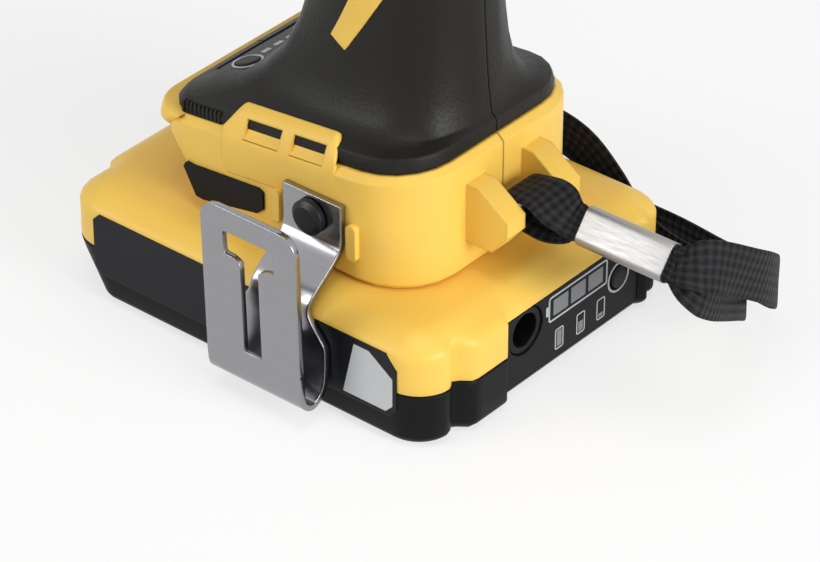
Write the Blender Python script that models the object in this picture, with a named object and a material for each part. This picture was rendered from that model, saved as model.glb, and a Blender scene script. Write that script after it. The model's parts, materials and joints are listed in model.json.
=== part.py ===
"""Cordless impact wrench with slide-on battery, belt hook and wrist strap.

Sizes are in millimetres; the nose points to -X, the tool's left side to -Y and the
battery stands on z = 0. The clamshell split is the plane y = 0.
"""
import math

import bmesh
import bpy
from mathutils import Matrix, Vector

MM = 0.001

# Clearances
SEAT = 0.3
SPLIT = 0.3
RUN = 0.4
GRIP_GAP = 0.5

# Battery pack
PACK_REAR = 42.0
PACK_LENGTH = 100.5
PACK_WIDTH = 82.0
PACK_WALL = 2.4
PACK_CORNER = 9.0
TRAY_HEIGHT = 12.0
PANEL_TOP = 22.5
PACK_SHOULDER = 26.0
TRAY_SLOPE = 8.0
TRAY_CHAMFER = 1.6
PAD_PROUD = 0.5
PAD_THICK = 0.9
PAD_HALF = 33.0
PAD_SPANS = {"front": (-46.0, -36.0), "rear": (-4.0, 21.0)}
NOSE_REACH = 4.0
NOSE_HALF = 27.0
NOSE_CHAMFER = 1.5
SHOULDER_CHAMFER = 2.2
PANEL_INSET = 1.2
SIDE_PANEL_END = 9.5
GAUGE_LEFT = -15.0
GAUGE_RIGHT = 31.0
GAUGE_BOTTOM = 2.5
GAUGE_TOP = 20.0
JACK_Y = -8.0
JACK_Z = 14.8
JACK_BORE = 4.0
JACK_DEPTH = 9.0
GAUGE_BUTTON_Y = 24.0
GAUGE_BUTTON_RADIUS = 2.6
CELL_DIAMETER = 18.2
CELL_LENGTH = 65.0
CELL_COUNT = 4

# Slide rails between battery and foot
RAIL_HALF = 21.0
RAIL_TOP = 40.0
RAIL_FRONT = -37.0
RAIL_REAR = 10.0
GROOVE_DEPTH = 3.5
GROOVE_LOW = 31.0
GROOVE_HIGH = 35.0
LATCH_X = -33.0
LATCH_THICK = 4.0
LATCH_HALF = 10.0
LATCH_RISE = 3.0
LATCH_TRAVEL = 3.6

# Foot of the handle
FOOT_FRONT = -43.0
FOOT_REAR = 29.0
FOOT_HALF = 30.0
FOOT_BOTTOM = 26.4
FOOT_UNDERCUT = 10.0
FOOT_FRONT_CORNER = 9.0
FOOT_REAR_CORNER = 15.0
FOOT_TOP = 51.15
FOOT_TOP_SLOPE = 0.105
RIM_CHAMFER = 1.6
VENT_LENGTH = 9.5
VENT_DEPTH = 3.0
VENT_HEIGHT = 5.0

# Handle and grip
HANDLE_X = 3.0
HANDLE_LEAN = 0.04
HANDLE_HALF_LENGTH = 21.0
HANDLE_HALF_WIDTH = 16.0
HANDLE_POWER = 2.4
GRIP_TOP = 120.0
GRIP_THICK = 2.0
SHELL = 2.8
GRIP_EDGE = 0.4

# Control panel on the foot
PANEL_X = -33.4
PANEL_TILT = 16.0
PANEL_LENGTH = 30.0
PANEL_BREADTH = 8.6
PANEL_DEPTH = 2.4
PANEL_BUTTON_SPREAD = 10.0
PANEL_BUTTON_RADIUS = 2.7
BUTTON_TRAVEL = 0.6

# Head
HEAD_Z = 186.0
BARREL_RADIUS = 31.0
BARREL_WALL = 3.0
BARREL_FRONT = -24.0
BARREL_REAR = 40.0
CAP_LENGTH = 12.0
CASE_NOSE = -94.0
CASE_WALL = 2.6
NOSE_RADIUS = 15.0
BUSH_WALL = 3.0
ANVIL_RADIUS = 8.0
DRIVE_SQUARE = 12.7
DRIVE_LENGTH = 20.0

# Motor and gears
STATOR_LENGTH = 26.0
STATOR_BORE = 14.5
ROTOR_GAP = 0.5
SHAFT_RADIUS = 2.5
BEARING_RADIUS = 8.0
BEARING_WIDTH = 5.0
FAN_RADIUS = 25.0
FAN_LENGTH = 6.0
GEAR_MODULE = 1.0
SUN_TEETH = 9
PLANET_TEETH = 18
RING_TEETH = 45
PLANET_COUNT = 3
PLANET_WIDTH = 8.0
PIN_RADIUS = 2.5
SPINDLE_RADIUS = 7.0
HAMMER_RADIUS = 24.0
HAMMER_LENGTH = 18.0
JAW_LENGTH = 6.0
HAMMER_TRAVEL = 7.0
SPRING_TURNS = 4.0
SPRING_WIRE = 1.6

# Trigger and direction button
TRIGGER_LOW = 126.0
TRIGGER_HIGH = 146.0
TRIGGER_HALF = 8.5
TRIGGER_REACH = 9.0
TRIGGER_TRAVEL = 6.5
DIRECTION_Z = 152.5
DIRECTION_SIZE = 6.0
DIRECTION_PROUD = 3.5
DIRECTION_TRAVEL = 2.5

# Belt hook
HOOK_WIDTH = 26.0
HOOK_TAB_WIDTH = 16.0
HOOK_THICK = 1.4
HOOK_X = 3.5
HOOK_SCREW_Z = 39.5
HOOK_HEAD_RADIUS = 4.1
HOOK_SLOT_BAR = 14.0
HOOK_SLOT_STEM = 5.0

# Wrist strap
LUG_GAP = 12.4
LUG_WALL = 6.0
LUG_REACH = 11.0
LUG_Z = 41.0
LUG_HEIGHT = 14.0
PIN_STRAP_RADIUS = 2.0
STRAP_WIDTH = 11.0
STRAP_THICK = 1.2
FERRULE_START = 51.0
FERRULE_LENGTH = 22.0
FERRULE_WALL = 0.7

# Small fasteners
SCREW_RADIUS = 1.6
SCREW_HEAD_RADIUS = 3.2
SCREW_HEAD = 2.2

ROUND = 28
PACK_FRONT = PACK_REAR - PACK_LENGTH
PACK_HALF = PACK_WIDTH / 2
COVER_BOTTOM = TRAY_HEIGHT + SEAT
CASE_REAR = BARREL_FRONT - SEAT
HOOK_WALL_Y = -FOOT_HALF - SEAT


# Materials
def material(name, colour, roughness, metallic=0.0):
    """Principled material with a linear RGB colour, made once per name."""
    found = bpy.data.materials.get(name)
    if found:
        return found
    made = bpy.data.materials.new(name)
    made.use_nodes = True
    shader = made.node_tree.nodes["Principled BSDF"]
    shader.inputs["Base Color"].default_value = (*colour, 1.0)
    shader.inputs["Roughness"].default_value = roughness
    shader.inputs["Metallic"].default_value = metallic
    return made


FINISHES = {
    "yellow_abs": ((0.86, 0.58, 0.09), 0.38, 0.0),
    "black_rubber": ((0.022, 0.020, 0.019), 0.75, 0.0),
    "black_plastic": ((0.016, 0.016, 0.018), 0.42, 0.0),
    "panel_film": ((0.05, 0.05, 0.055), 0.35, 0.0),
    "nickel_steel": ((0.55, 0.55, 0.56), 0.22, 1.0),
    "dark_steel": ((0.10, 0.10, 0.11), 0.35, 1.0),
    "bright_steel": ((0.50, 0.50, 0.52), 0.30, 1.0),
    "cast_aluminium": ((0.42, 0.42, 0.43), 0.45, 1.0),
    "copper": ((0.72, 0.33, 0.18), 0.30, 1.0),
    "board_green": ((0.02, 0.16, 0.07), 0.45, 0.0),
    "cell_wrap": ((0.05, 0.22, 0.42), 0.40, 0.0),
    "nylon": ((0.55, 0.53, 0.48), 0.55, 0.0),
    "clear_lens": ((0.80, 0.82, 0.84), 0.10, 0.0),
    "webbing": ((0.014, 0.014, 0.016), 0.85, 0.0),
}


# Mesh helpers
def solid(name, bm):
    """Turn a bmesh in millimetres into a named object in metres."""
    bmesh.ops.recalc_face_normals(bm, faces=bm.faces[:])
    bmesh.ops.scale(bm, vec=(MM, MM, MM), verts=bm.verts[:])
    mesh = bpy.data.meshes.new(name)
    bm.to_mesh(mesh)
    bm.free()
    made = bpy.data.objects.new(name, mesh)
    bpy.context.scene.collection.objects.link(made)
    return made


def loft(name, rings):
    """Closed skin through rings of equal count, with a flat cap at each end."""
    bm = bmesh.new()
    rows = [[bm.verts.new(point) for point in ring] for ring in rings]
    count = len(rings[0])
    for low, high in zip(rows, rows[1:]):
        for i in range(count):
            j = (i + 1) % count
            bm.faces.new((low[i], low[j], high[j], high[i]))
    bm.faces.new(rows[0])
    bm.faces.new(rows[-1])
    return solid(name, bm)


def prism(name, outline, axis, low, high):
    """Outline of two coordinates, carried from low to high along the axis X, Y or Z."""
    place = {
        "X": lambda u, v, w: (w, u, v),
        "Y": lambda u, v, w: (u, w, v),
        "Z": lambda u, v, w: (u, v, w),
    }[axis]
    rings = [[place(u, v, w) for u, v in outline] for w in (low, high)]
    return loft(name, rings)


def block(name, low, high, bevel=0.0):
    """Box between two corners, with its edges rounded off by one step where bevel is set."""
    bm = bmesh.new()
    bmesh.ops.create_cube(bm, size=1.0)
    size = [b - a for a, b in zip(low, high)]
    middle = [(a + b) / 2 for a, b in zip(low, high)]
    bmesh.ops.scale(bm, vec=size, verts=bm.verts[:])
    bmesh.ops.translate(bm, vec=middle, verts=bm.verts[:])
    if bevel:
        bmesh.ops.bevel(bm, geom=bm.edges[:], offset=bevel, segments=2, affect="EDGES", profile=0.5)
    return solid(name, bm)


def turned(name, profile, centre, axis="X", segments=ROUND):
    """Turn a closed profile of (along, radius) points about the axis through centre."""
    bm = bmesh.new()
    rows = []
    for along, radius in profile:
        row = []
        steps = segments if radius > 0 else 1
        for i in range(steps):
            angle = 2 * math.pi * i / segments
            u, v = radius * math.cos(angle), radius * math.sin(angle)
            offset = {"X": (along, u, v), "Y": (v, along, u), "Z": (u, v, along)}[axis]
            row.append(bm.verts.new([c + o for c, o in zip(centre, offset)]))
        rows.append(row)
    for low, high in zip(rows, rows[1:] + rows[:1]):
        if len(low) == 1 and len(high) == 1:
            continue
        for i in range(segments):
            j = (i + 1) % segments
            corners = [low[i % len(low)], low[j % len(low)], high[j % len(high)], high[i % len(high)]]
            bm.faces.new(list(dict.fromkeys(corners)))
    return solid(name, bm)


def rod(name, radius, low, high, centre, axis="X", segments=ROUND):
    """Plain round bar between two places along an axis."""
    return turned(name, [(low, 0), (low, radius), (high, radius), (high, 0)], centre, axis, segments)


def tube(name, outer, inner, low, high, centre, axis="X", segments=ROUND):
    """Plain round tube between two places along an axis."""
    profile = [(low, inner), (low, outer), (high, outer), (high, inner)]
    return turned(name, profile, centre, axis, segments)


def combine(target, tool, operation):
    """Boolean the tool into the target and remove the tool."""
    change = target.modifiers.new("Combine", "BOOLEAN")
    change.operation = operation
    change.object = tool
    change.solver = "MANIFOLD"
    bpy.context.view_layer.update()
    graph = bpy.context.evaluated_depsgraph_get()
    mesh = bpy.data.meshes.new_from_object(target.evaluated_get(graph))
    target.modifiers.clear()
    old = target.data
    target.data = mesh
    bpy.data.meshes.remove(old)
    bpy.data.objects.remove(tool)
    return target


def cut(target, *tools):
    """Take each tool away from the target."""
    for tool in tools:
        combine(target, tool, "DIFFERENCE")
    return target


def join(target, *tools):
    """Add each tool to the target."""
    for tool in tools:
        combine(target, tool, "UNION")
    return target


def half(target, side):
    """Keep one side of the clamshell split, less half of the split gap."""
    reach = 400.0
    near, far = side * SPLIT / 2, side * reach
    keep = block("keep", (-reach, min(near, far), -reach), (reach, max(near, far), reach))
    return combine(target, keep, "INTERSECT")


def copy_of(source, name):
    """Separate object with its own copy of the mesh."""
    made = source.copy()
    made.data = source.data.copy()
    made.name = name
    bpy.context.scene.collection.objects.link(made)
    return made


def dress(target, finish, pivot=None, smooth=35.0):
    """Give an object its finish, its origin and its shading."""
    colour, roughness, metallic = FINISHES[finish]
    target.data.materials.clear()
    target.data.materials.append(material(finish, colour, roughness, metallic))
    if pivot:
        place = Vector(pivot) * MM
        target.data.transform(Matrix.Translation(-place))
        target.location = place
    target.data.shade_smooth()
    target.data.set_sharp_from_angle(angle=math.radians(smooth))
    return target


# Outlines
def rounded(front, rear, half_width, front_corner, rear_corner, steps=5, sides=2):
    """Rounded rectangle in plan, anticlockwise, with extra points along its straight sides."""
    corners = [
        (rear - rear_corner, half_width - rear_corner, rear_corner, 0.0),
        (front + front_corner, half_width - front_corner, front_corner, 90.0),
        (front + front_corner, -half_width + front_corner, front_corner, 180.0),
        (rear - rear_corner, -half_width + rear_corner, rear_corner, 270.0),
    ]
    arcs = []
    for x, y, radius, start in corners:
        arc = []
        for i in range(steps + 1):
            angle = math.radians(start + 90.0 * i / steps)
            arc.append((x + radius * math.cos(angle), y + radius * math.sin(angle)))
        arcs.append(arc)
    points = []
    for arc, following in zip(arcs, arcs[1:] + arcs[:1]):
        points.extend(arc)
        (x0, y0), (x1, y1) = arc[-1], following[0]
        for i in range(1, sides + 1):
            share = i / (sides + 1)
            points.append((x0 + (x1 - x0) * share, y0 + (y1 - y0) * share))
    return points


def handle_axis(z):
    """X of the handle's centre line at a height."""
    return HANDLE_X - HANDLE_LEAN * (z - 80.0)


def handle_point(angle, z, inset=0.0):
    """Point on the handle's rounded section at an angle about its centre line."""
    c, s = math.cos(angle), math.sin(angle)
    length, width = HANDLE_HALF_LENGTH - inset, HANDLE_HALF_WIDTH - inset
    radius = ((abs(c) / length) ** HANDLE_POWER + (abs(s) / width) ** HANDLE_POWER) ** (-1 / HANDLE_POWER)
    return handle_axis(z) + radius * c, radius * s, z


def foot_top(x):
    """Height of the sloping top of the foot."""
    return FOOT_TOP + FOOT_TOP_SLOPE * x


def flat_ring(points, z):
    """Ring of plan points at one height."""
    return [(x, y, z) for x, y in points]


def top_ring(points, rise):
    """Ring of plan points a set rise above the sloping top of the foot."""
    return [(x, y, foot_top(x) + rise) for x, y in points]


# Foot, handle and grip
FLARE = (
    (0.0, SEAT), (0.0, 2.0), (0.05, 3.6), (0.25, 4.6), (0.45, 5.6),
    (0.62, 8.2), (0.78, 13.0), (0.90, 19.5), (0.97, 26.0), (1.0, 32.0),
)
CORE_INSET = GRIP_THICK + GRIP_GAP
CAVITY_INSET = CORE_INSET + SHELL
NECK_TOP = HEAD_Z - 12.0
BAY_ROOF = RAIL_TOP + RUN
ROOF_THICK = 2.8
BAY_REAR = FOOT_REAR - 6.0
PIN_X = FOOT_REAR + LUG_REACH - 5.0
DIRECTION_X = -9.0
LENS_Z = 151.5
LENS_RADIUS = 3.0
NECK_FRONT = -21.0
VENT_CENTRES = (-11.8, 1.0)
BOSS_RADIUS = 4.0
SCREW_SPOTS = ((8.0, 104.0, 11.0), (9.0, 152.0, 12.5), (30.0, HEAD_Z + BARREL_RADIUS + 2.0, 9.0))


def foot_plan(inset=0.0, front=FOOT_FRONT):
    """Plan outline of the foot, drawn in by an inset."""
    corner = max(FOOT_FRONT_CORNER - inset, 1.0)
    return rounded(front + inset, FOOT_REAR - inset, FOOT_HALF - inset, corner, FOOT_REAR_CORNER - inset)


def foot_solid():
    """Foot block: undercut nose, upright walls and a chamfered rim on a sloping top."""
    under = FOOT_FRONT + FOOT_UNDERCUT
    rings = [
        flat_ring(foot_plan(1.0, under), FOOT_BOTTOM),
        flat_ring(foot_plan(0.0, under), FOOT_BOTTOM + 1.2),
        flat_ring(foot_plan(), BAY_ROOF + 1.0),
        top_ring(foot_plan(), -RIM_CHAMFER),
        top_ring(foot_plan(RIM_CHAMFER), 0.0),
    ]
    return loft("foot", rings)


def flare_ring(share, rise, inset):
    """Ring part of the way from the foot's outline to the handle's section."""
    ring = []
    for x, y in foot_plan(RIM_CHAMFER + GRIP_EDGE + inset):
        level = foot_top(x) * (1 - share) + FOOT_TOP * share + rise - inset * (1 - share)
        hx, hy, _ = handle_point(math.atan2(y, x - handle_axis(level)), level, inset)
        ring.append((x + (hx - x) * share, y + (hy - y) * share, level))
    return ring


def handle_ring(z, inset):
    """Level ring of the handle that lines up with the flare's points."""
    plan = foot_plan(RIM_CHAMFER + GRIP_EDGE + inset)
    return [handle_point(math.atan2(y, x - handle_axis(z)), z, inset) for x, y in plan]


def flared(name, inset, base, top, start=1):
    """Flare and handle drawn in by an inset, from a base rise up to a height."""
    rings = [flare_ring(0.0, base, inset)]
    rings += [flare_ring(share, rise, inset) for share, rise in FLARE[start:]]
    rings += [handle_ring(100.0, inset), handle_ring(top, inset)]
    return loft(name, rings)


def panel_frame(target):
    """Turn and move a shape drawn about the origin to the control panel's seat."""
    seat = foot_top(PANEL_X) + 4.9
    turn = Matrix.Rotation(math.radians(-PANEL_TILT), 4, "Y")
    target.data.transform(Matrix.Translation(Vector((PANEL_X, 0.0, seat)) * MM) @ turn)
    return target


def panel_pocket():
    """Cutter for the control panel's seat in grip and housing."""
    reach_x, reach_y = PANEL_BREADTH / 2 + SEAT, PANEL_LENGTH / 2 + SEAT
    return panel_frame(block("pocket", (-reach_x, -reach_y, -PANEL_DEPTH - SEAT), (reach_x, reach_y, 12.0)))


def bay_cutter():
    """Battery bay: the rail outline with running clearance, open to the front and below."""
    wide = RAIL_HALF + RUN
    narrow = wide - GROOVE_DEPTH
    side = [
        (wide, PACK_SHOULDER - 6.0), (wide, GROOVE_LOW + RUN), (narrow, GROOVE_LOW + RUN),
        (narrow, GROOVE_HIGH - RUN), (wide, GROOVE_HIGH - RUN), (wide, BAY_ROOF),
    ]
    outline = side + [(-y, z) for y, z in reversed(side)]
    return prism("bay", outline, "X", FOOT_FRONT - 20.0, BAY_REAR)


def lug_horn(side):
    """One ear of the strap lug on the back of the foot."""
    inner, outer = LUG_GAP / 2, LUG_GAP / 2 + LUG_WALL
    low, high = LUG_Z - LUG_HEIGHT / 2, LUG_Z + LUG_HEIGHT / 2
    outline = [
        (FOOT_REAR - 4.5, low), (FOOT_REAR + LUG_REACH - 4.0, low), (FOOT_REAR + LUG_REACH, LUG_Z - 2.0),
        (FOOT_REAR + LUG_REACH, LUG_Z + 1.5), (FOOT_REAR + 3.0, high), (FOOT_REAR - 4.5, high),
    ]
    near, far = sorted((side * inner, side * outer))
    return prism("horn", outline, "Y", near, far)


def vent(side, centre):
    """Shallow window below the rim of the foot."""
    low, high = sorted((side * (FOOT_HALF - VENT_DEPTH), side * (FOOT_HALF + 2.0)))
    top = foot_top(centre) - RIM_CHAMFER - 0.8
    return block("vent", (centre - VENT_LENGTH / 2, low, top - VENT_HEIGHT), (centre + VENT_LENGTH / 2, high, top))


def housing_blank():
    """Whole housing before it is split: foot, handle core, neck and motor barrel, hollowed."""
    body = foot_solid()
    rings = [flare_ring(0.0, -4.0, CORE_INSET)]
    rings += [flare_ring(share, rise, CORE_INSET) for share, rise in FLARE[1:]]
    neck = GRIP_TOP + SEAT
    rings += [handle_ring(100.0, CORE_INSET), handle_ring(neck, CORE_INSET)]
    rings += [handle_ring(neck, 0.0), handle_ring(NECK_TOP, 0.0)]
    join(body, loft("core", rings))
    join(body, rod("barrel", BARREL_RADIUS, BARREL_FRONT, BARREL_REAR, (0, 0, HEAD_Z)))
    join(body, lug_horn(-1), lug_horn(1))
    hollow = [flare_ring(0.0, 1.0, CAVITY_INSET)]
    hollow += [flare_ring(share, rise, CAVITY_INSET) for share, rise in FLARE[1:]]
    hollow += [handle_ring(100.0, CAVITY_INSET), handle_ring(neck, CAVITY_INSET)]
    hollow += [handle_ring(neck + SHELL, SHELL), handle_ring(NECK_TOP + 2.0, SHELL)]
    cut(body, loft("handle_cavity", hollow))
    plan = foot_plan(6.0)
    floor = BAY_ROOF + ROOF_THICK
    cut(body, loft("foot_cavity", [flat_ring(plan, floor), top_ring(plan, -SHELL)]))
    inner = BARREL_RADIUS - BARREL_WALL
    cut(body, rod("bore", inner, BARREL_FRONT - 5.0, BARREL_REAR + 5.0, (0, 0, HEAD_Z)))
    cut(body, bay_cutter(), panel_pocket())
    add_bosses(body)
    cut_controls(body)
    for side in (-1, 1):
        cut(body, *[vent(side, centre) for centre in VENT_CENTRES])
    return body


def add_bosses(body):
    """Round posts across the hollow for the screws that hold the halves together."""
    for x, z, head in SCREW_SPOTS:
        join(body, rod("boss", BOSS_RADIUS, -head, head, (x, 0, z), "Y", 20))
    for x, z, head in SCREW_SPOTS:
        cut(body, rod("hole", SCREW_RADIUS + SEAT, -head + 4.0, head + 0.5, (x, 0, z), "Y", 16))
        cut(body, rod("seat", SCREW_HEAD_RADIUS + SEAT, head - SCREW_HEAD, 45.0, (x, 0, z), "Y", 16))


def cut_controls(body):
    """Openings for trigger, direction button, work light, latch, strap pin and hook screw."""
    reach = TRIGGER_HALF + RUN
    cut(body, block("slot", (-45, -reach, TRIGGER_LOW - RUN), (-6, reach, TRIGGER_HIGH + RUN)))
    side = DIRECTION_SIZE / 2 + RUN
    low, high = (DIRECTION_X - side, -40, DIRECTION_Z - side), (DIRECTION_X + side, 40, DIRECTION_Z + side)
    cut(body, block("cross", low, high))
    cut(body, rod("lens_hole", LENS_RADIUS + SEAT, -40, NECK_FRONT + 6.0, (0, 0, LENS_Z), "X", 20))
    reach_x, reach_y = LATCH_THICK / 2 + RUN, LATCH_HALF + RUN
    low = (FOOT_FRONT - 10.0, -reach_y, RAIL_TOP - 1.0)
    cut(body, block("latch_notch", low, (LATCH_X + reach_x, reach_y, RAIL_TOP + LATCH_RISE + 1.0)))
    depth = LUG_GAP / 2 + 3.8
    cut(body, rod("pin_hole", PIN_STRAP_RADIUS + SEAT, -depth, depth, (PIN_X, 0, LUG_Z), "Y", 16))
    spot = (HOOK_X, 0, HOOK_SCREW_Z)
    cut(body, rod("hook_hole", SCREW_RADIUS + SEAT, -FOOT_HALF - 2.0, -FOOT_HALF + 7.0, spot, "Y", 16))


def build_housing():
    """Left and right clamshell halves."""
    blank = housing_blank()
    right = copy_of(blank, "housing_right")
    blank.name = "housing_left"
    dress(half(blank, -1), "yellow_abs")
    dress(half(right, 1), "yellow_abs")


def build_grip():
    """Rubber covers over the handle and the top of the foot, split with the housing."""
    cover = flared("grip_left", 0.0, SEAT, GRIP_TOP)
    cut(cover, flared("grip_bore", GRIP_THICK, -6.0, GRIP_TOP + 4.0))
    cut(cover, panel_pocket())
    x, z, head = SCREW_SPOTS[0]
    cut(cover, rod("seat", SCREW_HEAD_RADIUS + SEAT, head - SCREW_HEAD, 45.0, (x, 0, z), "Y", 16))
    right = copy_of(cover, "grip_right")
    dress(half(cover, -1), "black_rubber")
    dress(half(right, 1), "black_rubber")


def screw(name, low, head, centre, axis, sign=1):
    """Pan-head screw: shank from low up to its head, along an axis."""
    r, h = SCREW_RADIUS, SCREW_HEAD_RADIUS
    top = head + sign * (SCREW_HEAD - SEAT)
    profile = [(low, 0), (low, r), (head, r), (head, h), (top - sign * 0.5, h), (top, h - 0.6), (top, 0)]
    return dress(turned(name, profile, centre, axis, 16), "dark_steel")


def build_housing_screws():
    """Screws that close the clamshell, with their heads sunk in the right half."""
    for number, (x, z, head) in enumerate(SCREW_SPOTS, 1):
        screw(f"housing_screw_{number}", -head + 5.0, head - SCREW_HEAD + SEAT, (x, 0, z), "Y")


def build_panel():
    """Control panel plate with its two push buttons."""
    size = (PANEL_BREADTH / 2, PANEL_LENGTH / 2)
    plate = block("control_panel", (-size[0], -size[1], -PANEL_DEPTH), (size[0], size[1], 0.0), 0.3)
    for side in (-1, 1):
        centre = (0, side * PANEL_BUTTON_SPREAD, 0)
        cut(plate, rod("hole", PANEL_BUTTON_RADIUS + SEAT, -8, 8, centre, "Z", 20))
    dress(panel_frame(plate), "panel_film")
    for name, side in (("mode_button", -1), ("light_button", 1)):
        centre = (0, side * PANEL_BUTTON_SPREAD, 0)
        low, high = -PANEL_DEPTH + BUTTON_TRAVEL, 0.4
        top = PANEL_BUTTON_RADIUS - 0.4
        r = PANEL_BUTTON_RADIUS
        profile = [(low, 0), (low, r), (high - 0.3, r), (high, top), (high, 0)]
        key = panel_frame(turned(name, profile, centre, "Z", 20))
        seat = foot_top(PANEL_X) + 4.9
        dress(key, "black_rubber", (PANEL_X, centre[1], seat))


# Battery pack
BOARD_X = PACK_REAR - 12.0
BOARD_THICK = 1.6
PACK_SCREW_X = PACK_REAR - 13.5
PACK_SCREW_Y = 31.0
PACK_POST = 4.0
BLADE_Y = 8.0
BLADE_THICK = 1.0
BLADE_LOW = 32.0
BLADE_HIGH = 38.0
BLADE_REACH = 8.0
TERMINAL_HALF = 14.0
CELL_PITCH = CELL_DIAMETER + SEAT
CELL_Z = PACK_WALL + SEAT + CELL_DIAMETER / 2
CELL_START = PACK_FRONT + PACK_WALL + 0.75 * TRAY_SLOPE + CELL_DIAMETER / 2
COVER_ROOF = PACK_SHOULDER - PACK_WALL


def pack_plan(inset=0.0, setback=0.0):
    """Plan outline of the battery pack, drawn in by an inset and set back at the front."""
    corner = PACK_CORNER - inset
    return rounded(PACK_FRONT + setback + inset, PACK_REAR - inset, PACK_HALF - inset, corner, corner, 5, 1)


def jack_hole():
    """Cutter for the charge jack in tray, cover and gauge panel."""
    centre = (0, JACK_Y, JACK_Z)
    return rod("jack_hole", JACK_BORE + 1.5 + SEAT, PACK_REAR - 8.0, PACK_REAR + 5.0, centre, "X", 24)


def gauge_button_hole():
    """Cutter for the gauge button in tray, cover and gauge panel."""
    centre = (0, GAUGE_BUTTON_Y, TRAY_HEIGHT)
    return rod("key_hole", GAUGE_BUTTON_RADIUS + SEAT, PACK_REAR - 8.0, PACK_REAR + 5.0, centre, "X", 20)


def gauge_recess():
    """Cutter for the gauge panel's seat in the back of the pack."""
    low = (PACK_REAR - PANEL_INSET, GAUGE_LEFT - SEAT, GAUGE_BOTTOM - SEAT)
    return block("recess", low, (PACK_REAR + 5.0, GAUGE_RIGHT + SEAT, GAUGE_TOP + SEAT))


def side_outline(grow):
    """Outline of a side panel, in X and Z, with its upper corners cut off."""
    front, rear = PACK_FRONT + SIDE_PANEL_END - grow, PACK_REAR - SIDE_PANEL_END + grow
    low, high, cut_off = COVER_BOTTOM + SEAT - grow, PANEL_TOP + grow, 4.0
    return [(front, low), (rear, low), (rear, high - cut_off), (rear - cut_off, high),
            (front + cut_off, high), (front, high - cut_off)]


def side_recess(side):
    """Cutter for a side panel's seat in the cover, open at the cover's lower edge."""
    outline = [(x, z - 2.0 if z < PANEL_TOP - 5.0 else z) for x, z in side_outline(SEAT)]
    near, far = sorted((side * (PACK_HALF - PANEL_INSET), side * (PACK_HALF + 3.0)))
    return prism("recess", outline, "Y", near, far)


def rail_outline():
    """Section of the slide rail on top of the pack, with a groove on each side."""
    side = [
        (RAIL_HALF, PACK_SHOULDER - 1.0), (RAIL_HALF, GROOVE_LOW), (RAIL_HALF - GROOVE_DEPTH, GROOVE_LOW),
        (RAIL_HALF - GROOVE_DEPTH, GROOVE_HIGH), (RAIL_HALF, GROOVE_HIGH), (RAIL_HALF, RAIL_TOP),
    ]
    return side + [(-y, z) for y, z in reversed(side)]


def build_tray():
    """Black lower tray of the pack, open at the top, with posts for its screws."""
    rings = [
        flat_ring(pack_plan(TRAY_CHAMFER, TRAY_SLOPE), PAD_PROUD),
        flat_ring(pack_plan(0.0, TRAY_SLOPE), PAD_PROUD + TRAY_CHAMFER),
        flat_ring(pack_plan(), TRAY_HEIGHT - 1.0), flat_ring(pack_plan(), TRAY_HEIGHT),
    ]
    tray = loft("battery_tray", rings)
    floor, above = pack_plan(PACK_WALL, TRAY_SLOPE), pack_plan(PACK_WALL)
    cut(tray, loft("hollow", [flat_ring(floor, PACK_WALL), flat_ring(above, TRAY_HEIGHT + 5.0)]))
    for side in (-1, 1):
        spot = (PACK_SCREW_X, side * PACK_SCREW_Y, 0)
        join(tray, rod("post", PACK_POST, PACK_WALL - 1.0, TRAY_HEIGHT - SEAT, spot, "Z", 20))
        cut(tray, rod("hole", SCREW_RADIUS + SEAT, -3.0, TRAY_HEIGHT + 5.0, spot, "Z", 16))
        cut(tray, rod("seat", SCREW_HEAD_RADIUS + SEAT, -3.0, PAD_PROUD + SCREW_HEAD + SEAT, spot, "Z", 16))
    cut(tray, gauge_recess(), jack_hole(), gauge_button_hole())
    for name, (front, rear) in PAD_SPANS.items():
        dress(block(f"base_pad_{name}", (front, -PAD_HALF, 0.0), (rear, PAD_HALF, PAD_THICK)), "black_rubber")
        low = (front - SEAT, -PAD_HALF - SEAT, -3.0)
        cut(tray, block("pad_seat", low, (rear + SEAT, PAD_HALF + SEAT, PAD_THICK + SEAT)))
    dress(tray, "black_plastic")


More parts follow.
